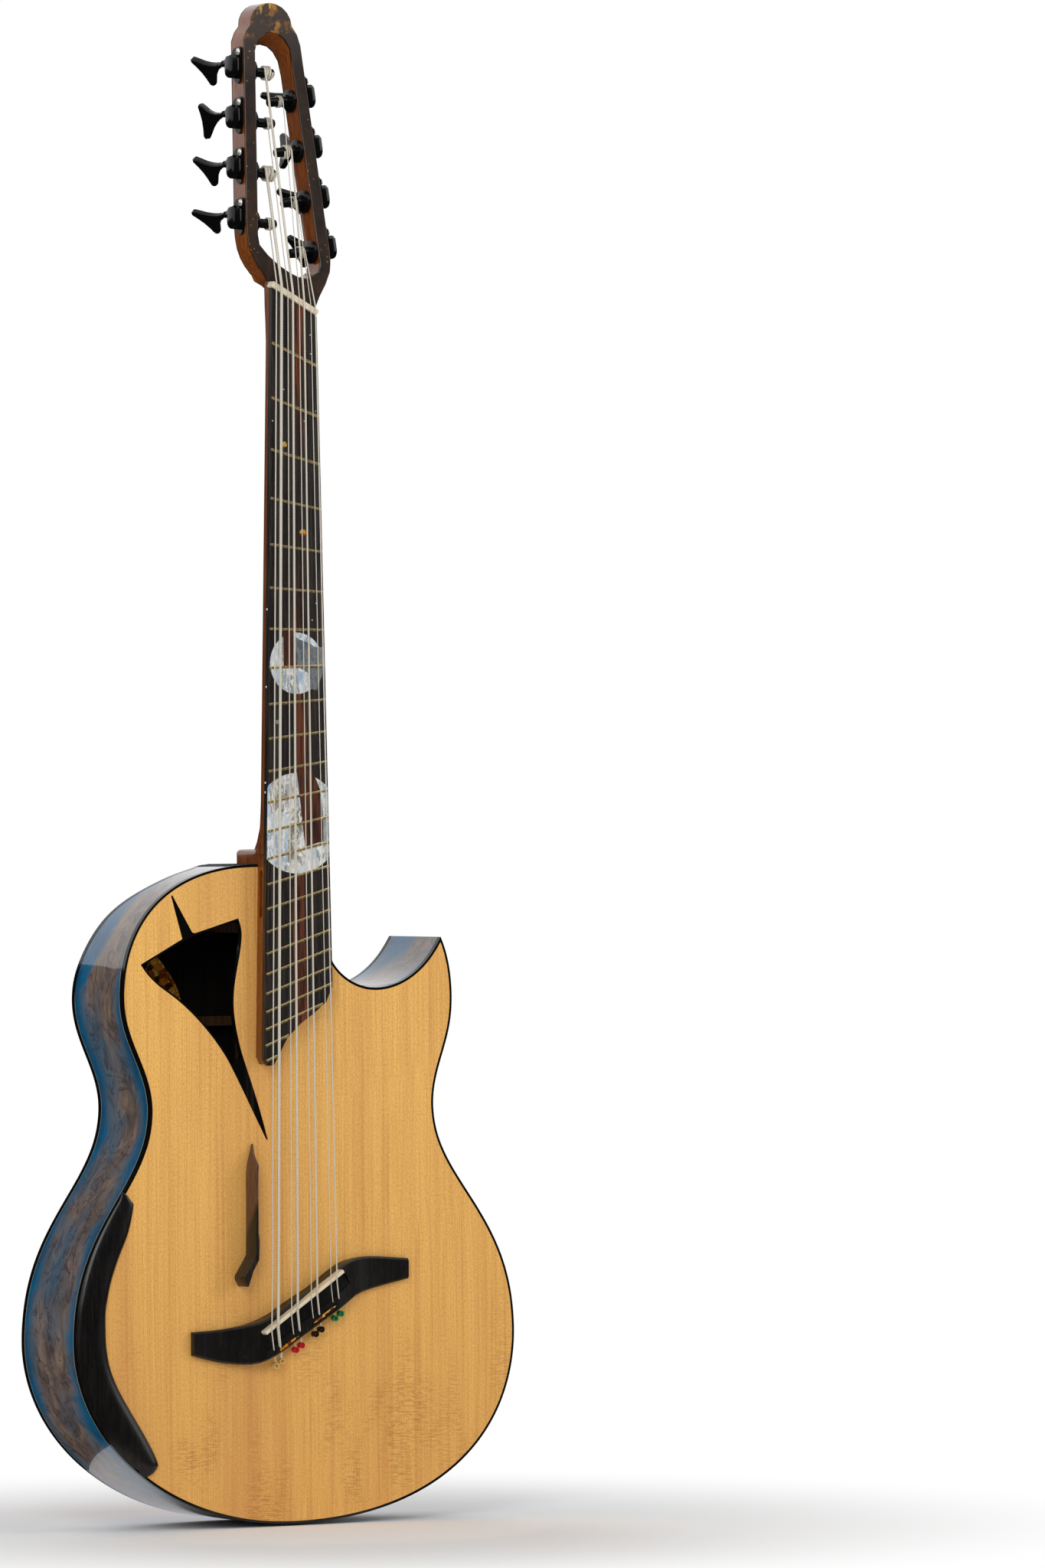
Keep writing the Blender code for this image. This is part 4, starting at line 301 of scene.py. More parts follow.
def burl_colour(finish, place, burst, tone=1.0):
    """Burl wood in its middle, stained blue towards burst 1."""
    shade = colours()
    swirl = finish.warp(0.040, 0.034, place)
    figure = finish.noise(0.016, 7, 0.66, 1.1, vector=swirl)
    fine = finish.noise(0.0042, 5, 0.6, 0.8, vector=swirl)
    lumps = finish.cells(0.0125, vector=finish.warp(0.018, 0.010, place)).outputs["Distance"]
    clusters = finish.step(finish.noise(0.045, 3, 0.6, vector=place), 0.46, 0.62)
    eyes = finish.math("MULTIPLY", finish.math("SUBTRACT", 1.0, finish.step(lumps, 0.06, 0.16)), clusters)
    halo = finish.math("MULTIPLY", finish.math("SUBTRACT", 1.0, finish.step(lumps, 0.10, 0.42)), clusters)
    wood = finish.ramp(figure, (
        (0.22, srgb(98, 58, 44)), (0.38, shade.burl_brown), (0.52, shade.burl_light),
        (0.66, srgb(206, 138, 92)), (0.80, shade.burl_brown)))
    wood = finish.mix(finish.step(fine, 0.50, 0.74), wood, srgb(160, 96, 66))
    wood = finish.mix(finish.math("MULTIPLY", halo, 0.55), wood, srgb(236, 176, 122))
    wood = finish.mix(eyes, wood, srgb(86, 48, 36))
    ridge = finish.math("ABSOLUTE", finish.math("SUBTRACT", finish.noise(0.075, 4, 0.6, 0.7, vector=swirl), 0.5))
    edge_of_burst = finish.math("ADD", burst, finish.math("MULTIPLY", finish.math("SUBTRACT", figure, 0.5), 0.34))
    rim = finish.math("MULTIPLY", finish.step(edge_of_burst, 0.46, 0.62),
                      finish.math("SUBTRACT", 1.0, finish.step(edge_of_burst, 0.70, 0.84)))
    vein = finish.math("MULTIPLY", finish.math("SUBTRACT", 1.0, finish.step(ridge, 0.004, 0.022)), rim)
    grey = finish.mix(finish.step(figure, 0.34, 0.62), srgb(124, 96, 100), srgb(182, 154, 142))
    stain = finish.mix(finish.step(figure, 0.30, 0.70), shade.stain_blue, srgb(20, 106, 176))
    colour = finish.mix(finish.step(edge_of_burst, 0.44, 0.70), wood, grey)
    colour = finish.mix(finish.step(edge_of_burst, 0.62, 0.86), colour, stain)
    colour = finish.mix(finish.step(burst, 0.90, 1.12), colour, shade.stain_deep)
    colour = finish.mix(finish.math("MULTIPLY", vein, 0.70), colour, srgb(40, 34, 54))
    return colour, figure


def back_finish():
    """Mirrored burl back with a blue burst that follows the two bouts."""
    finish = Finish("blue_burl_back")
    x, _, z = finish.split()
    middle = 0.004
    side = finish.math("ABSOLUTE", finish.math("SUBTRACT", x, middle))
    place = finish.join(side, 0.0, z)

    def bout(centre_z, half_width, half_height):
        across = finish.math("DIVIDE", side, half_width)
        along = finish.math("DIVIDE", finish.math("SUBTRACT", z, centre_z), half_height)
        total = finish.math("ADD", finish.math("POWER", across, 2.0), finish.math("POWER", along, 2.0))
        return finish.math("SQRT", total)

    lower = bout(-0.842, 0.232, 0.182)
    upper = bout(-0.672, 0.162, 0.150)
    node = finish.add("ShaderNodeMath", {0: lower, 1: upper, 2: 0.55}, operation="SMOOTH_MIN")
    burst = node.outputs[0]
    colour, figure = burl_colour(finish, place, burst)
    return finish.done(
        colour, roughness=0.35, coat_weight=1.0, coat_roughness=0.04, specular_ior_level=0.3,
        normal=finish.bump(figure, 0.00004, 0.3))


def side_finish():
    """Burl sides: blue along both edges, grey brown with dark eyes and veins in the middle."""
    finish = Finish("blue_burl_sides")
    shade = colours()
    _, y, z = finish.split()
    dip = finish.math("MULTIPLY", finish.step(z, -0.580, -0.535), 0.038)
    full = finish.math("ADD", finish.math("MULTIPLY", z, -0.0270), 0.0713)
    depth = finish.math("SUBTRACT", full, dip)
    share = finish.math("DIVIDE", y, depth)
    away = finish.math("ABSOLUTE", finish.math("SUBTRACT", share, 0.50))
    flow = finish.warp(0.050, 0.040, finish.stretched((1, 1, 0.55)))
    figure = finish.noise(0.020, 8, 0.66, 0.9, vector=flow)
    cloud = finish.noise(0.060, 3, 0.55, vector=flow)
    veins = finish.math("ABSOLUTE", finish.math("SUBTRACT", finish.noise(0.026, 5, 0.62, 1.2, vector=flow), 0.5))
    lumps = finish.cells(0.0085, vector=finish.warp(0.012, 0.007)).outputs["Distance"]
    crowd = finish.step(finish.noise(0.030, 2), 0.50, 0.62)
    eyes = finish.math("MULTIPLY", finish.math("SUBTRACT", 1.0, finish.step(lumps, 0.05, 0.17)), crowd)
    wood = finish.ramp(figure, (
        (0.26, srgb(68, 58, 58)), (0.42, srgb(100, 88, 82)), (0.54, shade.side_brown),
        (0.66, srgb(150, 126, 108)), (0.78, srgb(112, 76, 62))))
    wood = finish.mix(finish.math("MULTIPLY", finish.step(cloud, 0.42, 0.66), 0.75), wood, srgb(70, 106, 130))
    vein = finish.math("SUBTRACT", 1.0, finish.step(veins, 0.004, 0.030))
    wood = finish.mix(finish.math("MULTIPLY", vein, 0.65), wood, srgb(54, 40, 50))
    wood = finish.mix(finish.math("MULTIPLY", eyes, 0.85), wood, srgb(34, 28, 42))
    burst = finish.math("ADD", away, finish.math("MULTIPLY", finish.math("SUBTRACT", cloud, 0.5), 0.42))
    burst = finish.math("ADD", burst, finish.math("MULTIPLY", finish.math("SUBTRACT", figure, 0.5), 0.26))
    stain = finish.mix(finish.step(figure, 0.36, 0.64), srgb(2, 70, 108), shade.side_blue)
    colour = finish.mix(finish.math("MULTIPLY", finish.step(burst, 0.22, 0.36), 0.62), wood, srgb(52, 98, 126))
    colour = finish.mix(finish.step(burst, 0.31, 0.44), colour, stain)
    front_line = finish.math("LESS_THAN", y, 0.0058)
    back_line = finish.math("GREATER_THAN", y, finish.math("SUBTRACT", full, 0.0058))
    colour = finish.mix(finish.math("MAXIMUM", front_line, back_line), colour, srgb(150, 140, 112))
    return finish.done(
        colour, roughness=0.30, coat_weight=1.0, coat_roughness=0.025, specular_ior_level=0.2,
        normal=finish.bump(figure, 0.00004, 0.3))


def wood_finish(name, light, dark, size=0.004, stretch=(1, 1, 0.06), gloss=0.30, coat=0.0, specular=0.4):
    """Straight-grained wood with pores; light and dark are its two colours."""
    finish = Finish(name)
    line = finish.warp(0.10, 0.010)
    grain = finish.noise(size, 5, 0.62, vector=line, stretch=stretch)
    broad = finish.noise(size * 7, 3, 0.6, vector=line, stretch=stretch)
    pores = finish.noise(0.0009, 2, 0.6, stretch=(1, 1, 0.10))
    colour = finish.mix(finish.step(grain, 0.34, 0.66), light, dark)
    colour = finish.mix(finish.math("MULTIPLY", finish.step(broad, 0.40, 0.70), 0.45), colour, dark)
    tiny = finish.math("SUBTRACT", 1.0, finish.step(pores, 0.28, 0.40))
    colour = finish.mix(finish.math("MULTIPLY", tiny, 0.6), colour, dark)
    rough = finish.math("ADD", finish.math("MULTIPLY", grain, 0.12), gloss - 0.05)
    return finish.done(colour, roughness=rough, coat_weight=coat, coat_roughness=0.05,
                       specular_ior_level=specular, normal=finish.bump(pores, 0.00003, 0.35))


def ebony_finish(name="ebony", rough=0.30, dust=0.35):
    """Near-black wood with faint grey-brown streaks, pores and a soft polish."""
    finish = Finish(name)
    grain = finish.noise(0.0022, 4, 0.6, stretch=(1, 1, 0.07))
    pores = finish.noise(0.0007, 2, 0.6, stretch=(1, 1, 0.12))
    dark = finish.mix(finish.step(grain, 0.40, 0.72), colours().ebony, srgb(28, 24, 22))
    specks = finish.math("MULTIPLY", finish.step(pores, 0.62, 0.76), dust)
    colour = finish.mix(specks, dark, srgb(96, 84, 66))
    worn = finish.math("ADD", finish.math("MULTIPLY", finish.noise(0.03, 2), 0.14), rough - 0.06)
    return finish.done(colour, roughness=worn, specular_ior_level=0.36, normal=finish.bump(pores, 0.00004, 0.5))


def amber_finish(name="amber", chip=0.0058):
    """Crushed amber: chips of yellow, orange and brown with dark joints and black bits."""
    finish = Finish(name)
    place = finish.warp(0.006, 0.003)
    chips = finish.cells(chip, vector=place)
    tint = finish.split(chips.outputs["Color"])[0]
    edge = finish.cells(chip, "DISTANCE_TO_EDGE", vector=place).outputs["Distance"]
    cloud = finish.noise(0.0025, 4, 0.6, 0.6)
    colour = finish.ramp(tint, (
        (0.0, srgb(20, 14, 10)), (0.07, srgb(96, 44, 10)), (0.28, srgb(176, 84, 10)), (0.50, colours().amber),
        (0.74, srgb(226, 156, 38)), (0.93, srgb(240, 196, 96))))
    colour = finish.mix(finish.math("MULTIPLY", finish.step(cloud, 0.35, 0.75), 0.55), colour, srgb(112, 50, 8))
    joint = finish.math("SUBTRACT", 1.0, finish.step(edge, 0.015, 0.075))
    colour = finish.mix(finish.math("MULTIPLY", joint, 0.75), colour, srgb(70, 30, 8))
    return finish.done(colour, roughness=0.16, coat_weight=1.0, coat_roughness=0.03,
                       normal=finish.bump(edge, 0.0002, 0.25))


def flecked_finish():
    """Dark brown resin with clouds, a few gold flecks and amber at the rounded top."""
    finish = Finish("flecked_veneer")
    _, _, z = finish.split()
    cloud = finish.noise(0.020, 4, 0.6, 0.5)
    flecks = finish.cells(0.0042, vector=finish.warp(0.004, 0.003)).outputs["Distance"]
    sparse = finish.step(finish.noise(0.018, 2), 0.50, 0.62)
    gold = finish.math("MULTIPLY", finish.math("SUBTRACT", 1.0, finish.step(flecks, 0.10, 0.22)), sparse)
    dust = finish.step(finish.noise(0.0011, 2, 0.7), 0.64, 0.76)
    colour = finish.ramp(cloud, (
        (0.25, srgb(24, 17, 14)), (0.50, srgb(42, 30, 24)), (0.70, srgb(58, 38, 24)), (0.85, srgb(32, 24, 20))))
    colour = finish.mix(finish.math("MULTIPLY", dust, 0.35), colour, srgb(112, 78, 36))
    colour = finish.mix(finish.math("MULTIPLY", gold, 0.75), colour, srgb(178, 126, 44))
    chips = finish.cells(0.0085, vector=finish.warp(0.008, 0.006))
    tint = finish.split(chips.outputs["Color"])[0]
    glow = finish.ramp(tint, (
        (0.15, srgb(38, 22, 10)), (0.45, srgb(104, 62, 16)), (0.72, srgb(168, 112, 30)), (0.95, srgb(206, 160, 70))))
    patchy = finish.step(finish.noise(0.012, 2, 0.6), 0.40, 0.56)
    dome = finish.math("MULTIPLY", finish.step(z, 0.216, 0.230), patchy)
    colour = finish.mix(finish.math("MULTIPLY", dome, 0.85), colour, glow)
    return finish.done(colour, roughness=0.30, coat_weight=0.6, coat_roughness=0.05, specular_ior_level=0.2,
                       normal=finish.bump(cloud, 0.0001, 0.2))


def thumb_finish():
    """Ebony that is brown in its upper half, with a crossing grain."""
    finish = Finish("thumb_wood")
    _, y, z = finish.split()
    grain = finish.noise(0.0016, 4, 0.62, stretch=(1, 1, 0.06))
    # Above a slanting line the colour turns brown: painted light for the rest's lit face.
    slope = finish.math("ADD", z, finish.math("MULTIPLY", y, 1.4))
    brown = finish.step(finish.math("ADD", slope, finish.math("MULTIPLY", grain, 0.012)), -0.782, -0.768)
    light = finish.mix(finish.step(grain, 0.35, 0.66), srgb(108, 76, 58), srgb(66, 44, 34))
    dark = finish.mix(finish.step(grain, 0.40, 0.70), srgb(20, 18, 18), srgb(44, 37, 33))
    return finish.done(finish.mix(brown, dark, light), roughness=finish.math("ADD", finish.math(
        "MULTIPLY", grain, 0.14), 0.22), specular_ior_level=0.45, normal=finish.bump(grain, 0.00004, 0.4))


def gloss_finish(name, colour, rough=0.10, speck=0.5, metal=0.0, specular=0.4, size=0.0012, depth=0.00002):
    """Lacquer, plastic or polished metal with fine wear in its gloss."""
    finish = Finish(name)
    wear = finish.noise(size * 8, 4, 0.65)
    fine = finish.noise(size, 3, 0.6)
    tone = finish.mix(finish.math("MULTIPLY", wear, speck * 0.25), colour, tuple(c * 0.55 for c in colour))
    smudge = finish.math("ADD", finish.math("MULTIPLY", wear, rough * 0.9), rough * 0.55)
    return finish.done(tone, roughness=smudge, metallic=metal, specular_ior_level=specular,
                       normal=finish.bump(fine, depth, 0.3))


def bone_finish():
    """Warm ivory with faint long fibres."""
    finish = Finish("bone")
    fibre = finish.noise(0.0016, 4, 0.6, stretch=(0.15, 1, 1))
    colour = finish.mix(finish.math("MULTIPLY", fibre, 0.5), colours().bone, srgb(206, 184, 142))
    return finish.done(colour, roughness=finish.math("ADD", finish.math("MULTIPLY", fibre, 0.1), 0.26),
                       subsurface_weight=0.08, subsurface_radius=(0.001, 0.0007, 0.0005),
                       normal=finish.bump(fibre, 0.00003, 0.4))


def pearl_finish(name="pearl", bright=1.0):
    """Shell with cold white, green, blue and brown plates under gloss."""
    finish = Finish(name)
    place = finish.warp(0.012, 0.010)
    plates = finish.cells(0.0140, vector=place, stretch=(1, 1, 0.42))
    tint = finish.split(plates.outputs["Color"])[1]
    veins = finish.noise(0.006, 6, 0.7, 1.6, vector=place, stretch=(1, 1, 0.30))
    stops = (
        (0.0, (238, 244, 250)), (0.25, (138, 172, 204)), (0.42, (226, 234, 240)),
        (0.60, (168, 194, 214)), (0.80, (138, 134, 122)), (0.95, (248, 250, 252)))
    colour = finish.ramp(tint, [(spot, srgb(*[part * bright for part in tone])) for spot, tone in stops])
    white = srgb(252 * bright, 252 * bright, 250 * bright)
    colour = finish.mix(finish.step(veins, 0.42, 0.60), colour, white)
    dark = finish.step(finish.noise(0.0042, 5, 0.7, 1.0, vector=place, stretch=(1, 1, 0.4)), 0.60, 0.72)
    colour = finish.mix(finish.math("MULTIPLY", dark, 0.65), colour, srgb(96, 108, 108))
    return finish.done(colour, roughness=0.16, metallic=0.10, coat_weight=1.0, coat_roughness=0.04,
                       normal=finish.bump(veins, 0.0001, 0.3))


def string_finish():
    """Pale wound steel; the winding is a fine ripple along the string."""
    finish = Finish("string_steel")
    _, _, z = finish.split()
    turns = finish.math("SINE", finish.math("MULTIPLY", z, 2 * math.pi / 0.0009))
    dull = finish.noise(0.012, 3)
    # The colour is darker in the grooves between the turns: painted shade.
    colour = finish.mix(finish.step(turns, -0.9, 0.1), srgb(176, 166, 148), colours().strings)
    return finish.done(colour, metallic=0.15, roughness=finish.math("ADD", finish.math("MULTIPLY", dull, 0.2), 0.30),
                       normal=finish.bump(turns, 0.00006, 0.5))


def board_finish():
    """Black fretboard with grey-brown lines and a reddish heart along its middle."""
    finish = Finish("board_wood")
    x, _, z = finish.split()
    line = finish.warp(0.12, 0.005)
    grain = finish.noise(0.0016, 4, 0.62, vector=line, stretch=(1, 1, 0.02))
    fine = finish.noise(0.0006, 2, 0.6, stretch=(1, 1, 0.05))
    sway = finish.noise(0.22, 2, stretch=(0, 0, 1))
    middle = finish.math("MULTIPLY", finish.math("SUBTRACT", sway, 0.5), 0.016)
    heart = finish.math("ABSOLUTE", finish.math("SUBTRACT", x, finish.math("ADD", middle, 0.003)))
    zone = finish.math("SUBTRACT", 1.0, finish.step(heart, 0.0035, 0.0085))
    low = finish.math("SUBTRACT", 1.0, finish.step(z, -0.42, -0.16))
    top = finish.step(z, -0.15, -0.06)
    zone = finish.math("MULTIPLY", zone, finish.math("MAXIMUM", low, top))
    black = finish.mix(finish.step(grain, 0.42, 0.70), srgb(27, 24, 23), srgb(58, 50, 46))
    red = finish.mix(finish.step(grain, 0.40, 0.62), srgb(44, 24, 16), srgb(120, 56, 26))
    colour = finish.mix(finish.math("MULTIPLY", zone, finish.step(grain, 0.30, 0.62)), black, red)
    colour = finish.mix(finish.math("MULTIPLY", finish.step(fine, 0.60, 0.74), 0.35), colour, srgb(96, 84, 76))
    return finish.done(colour, roughness=finish.math("ADD", finish.math("MULTIPLY", grain, 0.16), 0.26),
                       specular_ior_level=0.40, normal=finish.bump(fine, 0.00004, 0.5))


def make_finishes():
    """Every finish by name."""
    shade = colours()
    table = {
        "soundboard_wood": soundboard_finish(),
        "blue_burl_back": back_finish(),
        "blue_burl_sides": side_finish(),
        "neck_wood": wood_finish("neck_wood", shade.neck_brown, shade.neck_dark, 0.0013, (1, 1, 0.04),
                                 0.26, 0.6, 0.25),
        # Brown wood for the braces, linings and blocks, darkened as painted shade of the box's inside.
        "inner_wood": wood_finish("inner_wood", srgb(92, 62, 38), srgb(54, 34, 20), 0.0030, gloss=0.6,
                                  specular=0.2),
        # Near-black wood for the faces inside the box: painted shade.
        "inner_painted_shade": wood_finish("inner_painted_shade", srgb(26, 20, 17), srgb(12, 9, 8), 0.0040, gloss=0.7, specular=0.1),
        "ebony": ebony_finish(),
        "rest_ebony": ebony_finish("rest_ebony", 0.27, 0.10),
        "board_wood": board_finish(),
        "rosewood": wood_finish("rosewood", srgb(104, 54, 30), srgb(40, 22, 16), 0.0018, gloss=0.32),
        "amber": amber_finish(),
        "flecked_veneer": flecked_finish(),
        "black_binding": gloss_finish("black_binding", shade.black, 0.12),
        "tuner_black": gloss_finish("tuner_black", shade.black, 0.13, specular=0.26),
        "steel": gloss_finish("steel", srgb(208, 208, 206), 0.22, metal=1.0),
        "fret_brass": gloss_finish("fret_brass", shade.brass, 0.22, metal=0.9),
        "string_steel": string_finish(),
        "bone": bone_finish(),
        "pearl": pearl_finish(),
        "pearl_dull": pearl_finish("pearl_dull", 0.56),
        "thumb_wood": thumb_finish(),
        "bright_steel": gloss_finish("bright_steel", srgb(236, 234, 228), 0.30, metal=0.55),
        # Near-black gloss for the screw slots: painted shade in their recess.
        "slot_painted_shade": gloss_finish("slot_painted_shade", srgb(9, 8, 8), 0.35),
        "grey_pearl": gloss_finish("grey_pearl", srgb(150, 148, 132), 0.20),
    }
    for name, tone in (("gold", srgb(236, 208, 128)), ("red", srgb(228, 28, 64)),
                       ("black", srgb(14, 14, 15)), ("green", srgb(12, 156, 100))):
        table["ball_" + name] = gloss_finish("ball_" + name, tone, 0.20, metal=0.35)
    return table


FINISHES = {}


def finish_of(name):
    """The finish of that name; all of them are made at the first call."""
    if not FINISHES:
        FINISHES.update(make_finishes())
    return FINISHES[name]


def own_body(node):
    return NODES[node]["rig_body"]


def smooth_outlines(piece, mesh, angle):
    """Turns the straight steps along curved edges into curves; true corners stay."""
    crease = mesh.attributes.new("crease_edge", "FLOAT", "EDGE")
    bm = bmesh.new()
    bm.from_mesh(mesh)
    bm.normal_update()
    for edge in bm.edges:
        if len(edge.link_faces) != 2 or edge.calc_face_angle(3.0) > math.radians(angle):
            crease.data[edge.index].value = 1.0
    bm.free()
    curves = piece.modifiers.new("Curves", "SUBSURF")
    curves.levels = curves.render_levels = 2
    curves.boundary_smooth = "PRESERVE_CORNERS"


def dressed(node, finish, bevel=0.0, angle=32.0, segments=3, flat=0.03, curved=False):
    """A welded, smooth copy of a solid with rounded edges, which stands for it."""
    mesh = NODES[node].data.copy()
    mesh.name = node + "_finished"
    mesh.materials.clear()
    bm = bmesh.new()
    bm.from_mesh(mesh)
    bmesh.ops.remove_doubles(bm, verts=bm.verts, dist=0.000005)
    bmesh.ops.dissolve_limit(bm, angle_limit=math.radians(flat), verts=bm.verts, edges=bm.edges)
    if curved:
        bmesh.ops.triangulate(bm, faces=[face for face in bm.faces if len(face.verts) > 4])
    for face in bm.faces:
        face.smooth = True
    bm.to_mesh(mesh)
    bm.free()
    for name in ("custom_normal", "sharp_face", "sharp_edge"):
        stale = mesh.attributes.get(name)
        if stale:
            mesh.attributes.remove(stale)
    mesh.set_sharp_from_angle(angle=math.radians(angle))
    piece = bpy.data.objects.new(node + "_finished", mesh)
    bpy.context.scene.collection.objects.link(piece)
    mesh.materials.append(finish_of(finish))
    if curved:
        smooth_outlines(piece, mesh, angle)
    if bevel:
        rounding = piece.modifiers.new("Rounded", "BEVEL")
        rounding.width = bevel
        rounding.segments = segments
        rounding.limit_method = "ANGLE"
        rounding.angle_limit = math.radians(angle)
        rounding.use_clamp_overlap = True
        rounding.harden_normals = True
    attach(piece, own_body(node))
    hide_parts(node)
    return piece


def shadowed(piece, test):
    """Gives the faces of the sound box's inside their own dark wood."""
    mesh = piece.data
    mesh.materials.append(finish_of("inner_painted_shade"))
    dark = len(mesh.materials) - 1
    for face in mesh.polygons:
        if test(face.center, face.normal):
            face.material_index = dark


def node_tree(node):
    """Ray tree of a solid."""
    mesh = NODES[node].data
    return BVHTree.FromPolygons([vert.co for vert in mesh.vertices], [face.vertices[:] for face in mesh.polygons])


def inner_side(centre, normal, trees=[]):
    """True where a side's face looks into the sound box."""
    if not trees:
        trees += [node_tree("soundboard"), node_tree("back_plate")]
    if abs(normal.y) > 0.6:
        return False
    spot = Vector((centre.x + normal.x * 0.004, -1.0, centre.z + normal.z * 0.004))
    return any(tree.ray_cast(spot, Vector((0, 1, 0)))[0] is not None for tree in trees)


def keep(node, finish):
    """A solid that stays as it is, with a better finish."""
    mesh = NODES[node].data
    for number in range(len(mesh.materials)):
        mesh.materials[number] = finish_of(finish)


def new_piece(name, bm, finish, body=ROOT, smooth=True):
    """A piece made of its own mesh, riding on a body."""
    mesh = bpy.data.meshes.new(name)
    bm.normal_update()
    bm.to_mesh(mesh)
    bm.free()
    if smooth:
        mesh.shade_smooth()
        mesh.set_sharp_from_angle(angle=math.radians(35))
    mesh.materials.append(finish_of(finish))
    piece = bpy.data.objects.new(name, mesh)
    bpy.context.scene.collection.objects.link(piece)
    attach(piece, body)
    return piece


AMBER_SLIVERS = (((-0.0216, -0.8788), (-0.0013, -0.8660)), ((0.0130, -0.8560), (0.0352, -0.8418)))


def build_body():
    """Soundboard, back, sides, bindings, rims and the port."""
    edge = sizes().edge_round
    top = dressed("soundboard", "soundboard_wood", curved=True)
    back = dressed("back_plate", "blue_burl_back", curved=True)
    sides = dressed("sides", "blue_burl_sides", angle=40, curved=True)
    # The faces inside the box are painted near black: painted shade.
    shadowed(top, lambda centre, normal: normal.y > 0.5)
    shadowed(back, lambda centre, normal: normal.y < -0.5)
    shadowed(sides, inner_side)
    dressed("top_binding", "black_binding", edge, angle=50, curved=True)
    dressed("back_binding", "black_binding", edge, angle=50, curved=True)
    dressed("soundhole_rim", "black_binding", 0.0003, curved=True)
    dressed("soundport_frame", "black_binding", 0.0005)
    dressed("back_inlay", "amber", 0.0002)


def edge_places(tree, z, height, centre):
    """Lowest and highest x of a solid at a height z, found along a line y = height; None beside it."""
    hit = tree.ray_cast(Vector((-1.0, height, z)), Vector((1, 0, 0)))[0]
    back = tree.ray_cast(Vector((centre, height, z)), Vector((-1, 0, 0)))[0]
    if hit is None or back is None:
        return None
    return hit.x, back.x


def eased(values, reach):
    """Each value as the mean of its neighbours."""
    result = []
    for k in range(len(values)):
        near = values[max(0, k - reach):k + reach + 1]
        result.append(sum(near) / len(near))
    return result


def build_armrest():
    """Arm rest: a crowned black ledge that runs out to a point at both ends."""
    tree = node_tree("armrest")
    low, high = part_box("armrest")
    rows = 72
    places, levels = [], []
    for k in range(rows + 1):
        z = high.z - 0.0004 - (high.z - low.z - 0.0008) * k / rows
        found = edge_places(tree, z, -0.0007, 0.06)
        if found:
            places.append(found)
            levels.append(z)
    outer = eased([place[0] for place in places], 2)
    inner = eased([place[1] for place in places], 2)
    bm = bmesh.new()
    rings = []
    across = 18
    for k, z in enumerate(levels):
        begin = min(1.0, (levels[0] - z) / 0.010)
        end = min(1.0, (z - levels[-1]) / 0.010)
        wide = (inner[k] - outer[k]) * (0.10 + 0.90 * begin ** 0.5) * (0.15 + 0.85 * end ** 0.5)
        rise = sizes().rest_crown * (0.20 + 0.80 * min(1.0, (levels[0] - z) / 0.080) ** 0.7)
        rise *= 0.35 + 0.65 * end ** 0.5
        ring = []
        for n in range(across + 1):
            share = n / across
            crown = math.sqrt(max(0.0, 1.0 - (2 * share - 1) ** 2))
            crown *= 0.62 + 0.38 * share
            ring.append(bm.verts.new((outer[k] + wide * share, -0.0003 - rise * crown, z)))
        rings.append(ring)
    for first, second in zip(rings, rings[1:]):
        for n in range(across):
            bm.faces.new((first[n], first[n + 1], second[n + 1], second[n]))
        bm.faces.new((first[0], second[0], second[-1], first[-1]))
    bm.faces.new(rings[0])
    bm.faces.new(rings[-1][::-1])
    bmesh.ops.recalc_face_normals(bm, faces=bm.faces)
    piece = new_piece("armrest_crowned", bm, "rest_ebony")
    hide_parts("armrest")


def inlay(name, loop, level, finish, depth=0.0002):
    """A thin plate; level gives the carrier's front at x and z."""
    bm = bmesh.new()
    proud = sizes().pearl_proud
    front = [bm.verts.new((x, level(x, z) - proud, z)) for x, z in loop]
    back = [bm.verts.new((x, level(x, z) + depth, z)) for x, z in loop]
    faces = [bm.faces.new(front), bm.faces.new(back[::-1])]
    for k in range(len(loop)):
        n = (k + 1) % len(loop)
        bm.faces.new((front[k], back[k], back[n], front[n]))
    bmesh.ops.triangulate(bm, faces=faces)
    bmesh.ops.recalc_face_normals(bm, faces=bm.faces)
    return new_piece(name, bm, finish, smooth=False)


def build_rests():
    """Thumb rest, bridge with its amber slivers, saddle and end plug."""
    dressed("thumb_rest", "thumb_wood", angle=40)
    bridge = dressed("bridge", "ebony", 0.0007, angle=30, segments=3)
    dressed("saddle", "bone", 0.0007)
    dressed("end_plug", "ebony", 0.0003)
    tree = node_tree("bridge")

    def front(x, z):
        spot = tree.ray_cast(Vector((x, -1.0, z)), Vector((0, 1, 0)))[0]
        if spot is None:
            raise RuntimeError("no bridge at %.4f, %.4f" % (x, z))
        return spot.y

    for number, (start, end) in enumerate(AMBER_SLIVERS):
        first, last = Vector(start), Vector(end)
        along = (last - first).normalized()
        side = Vector((-along.y, along.x))
        loop = []
        for share, width in ((0.0, 0.0), (0.12, 0.5), (0.5, 1.0), (0.85, 0.75), (1.0, 0.0)):
            loop.append(tuple(first.lerp(last, share) + side * width * 0.0012))
        for share, width in ((0.85, 0.6), (0.5, 1.0), (0.12, 0.7)):
            loop.append(tuple(first.lerp(last, share) - side * width * 0.0012))
        inlay("bridge_sliver_%d" % (number + 1), loop, front, "amber")


def build_neck():
    """Neck, headstock veneers, fretboard with golden frets, and nut."""
    dressed("neck", "neck_wood", 0.0012, angle=35, segments=4)
    dressed("headstock_front_veneer", "flecked_veneer", 0.0007, angle=50)
    dressed("headstock_back_veneer", "flecked_veneer", 0.0007, angle=50)
    dressed("nut", "bone", 0.0006)
    board = dressed("fretboard", "board_wood", 0.0006, angle=35, segments=2)
    mesh = board.data
    mesh.materials.append(finish_of("fret_brass"))
    for face in mesh.polygons:
        if all(mesh.vertices[v].co.y < BOARD_TOP + 0.00001 for v in face.vertices) and face.center.y < BOARD_TOP - 0.0001:
            face.material_index = 1
    keep("truss_rod", "steel")


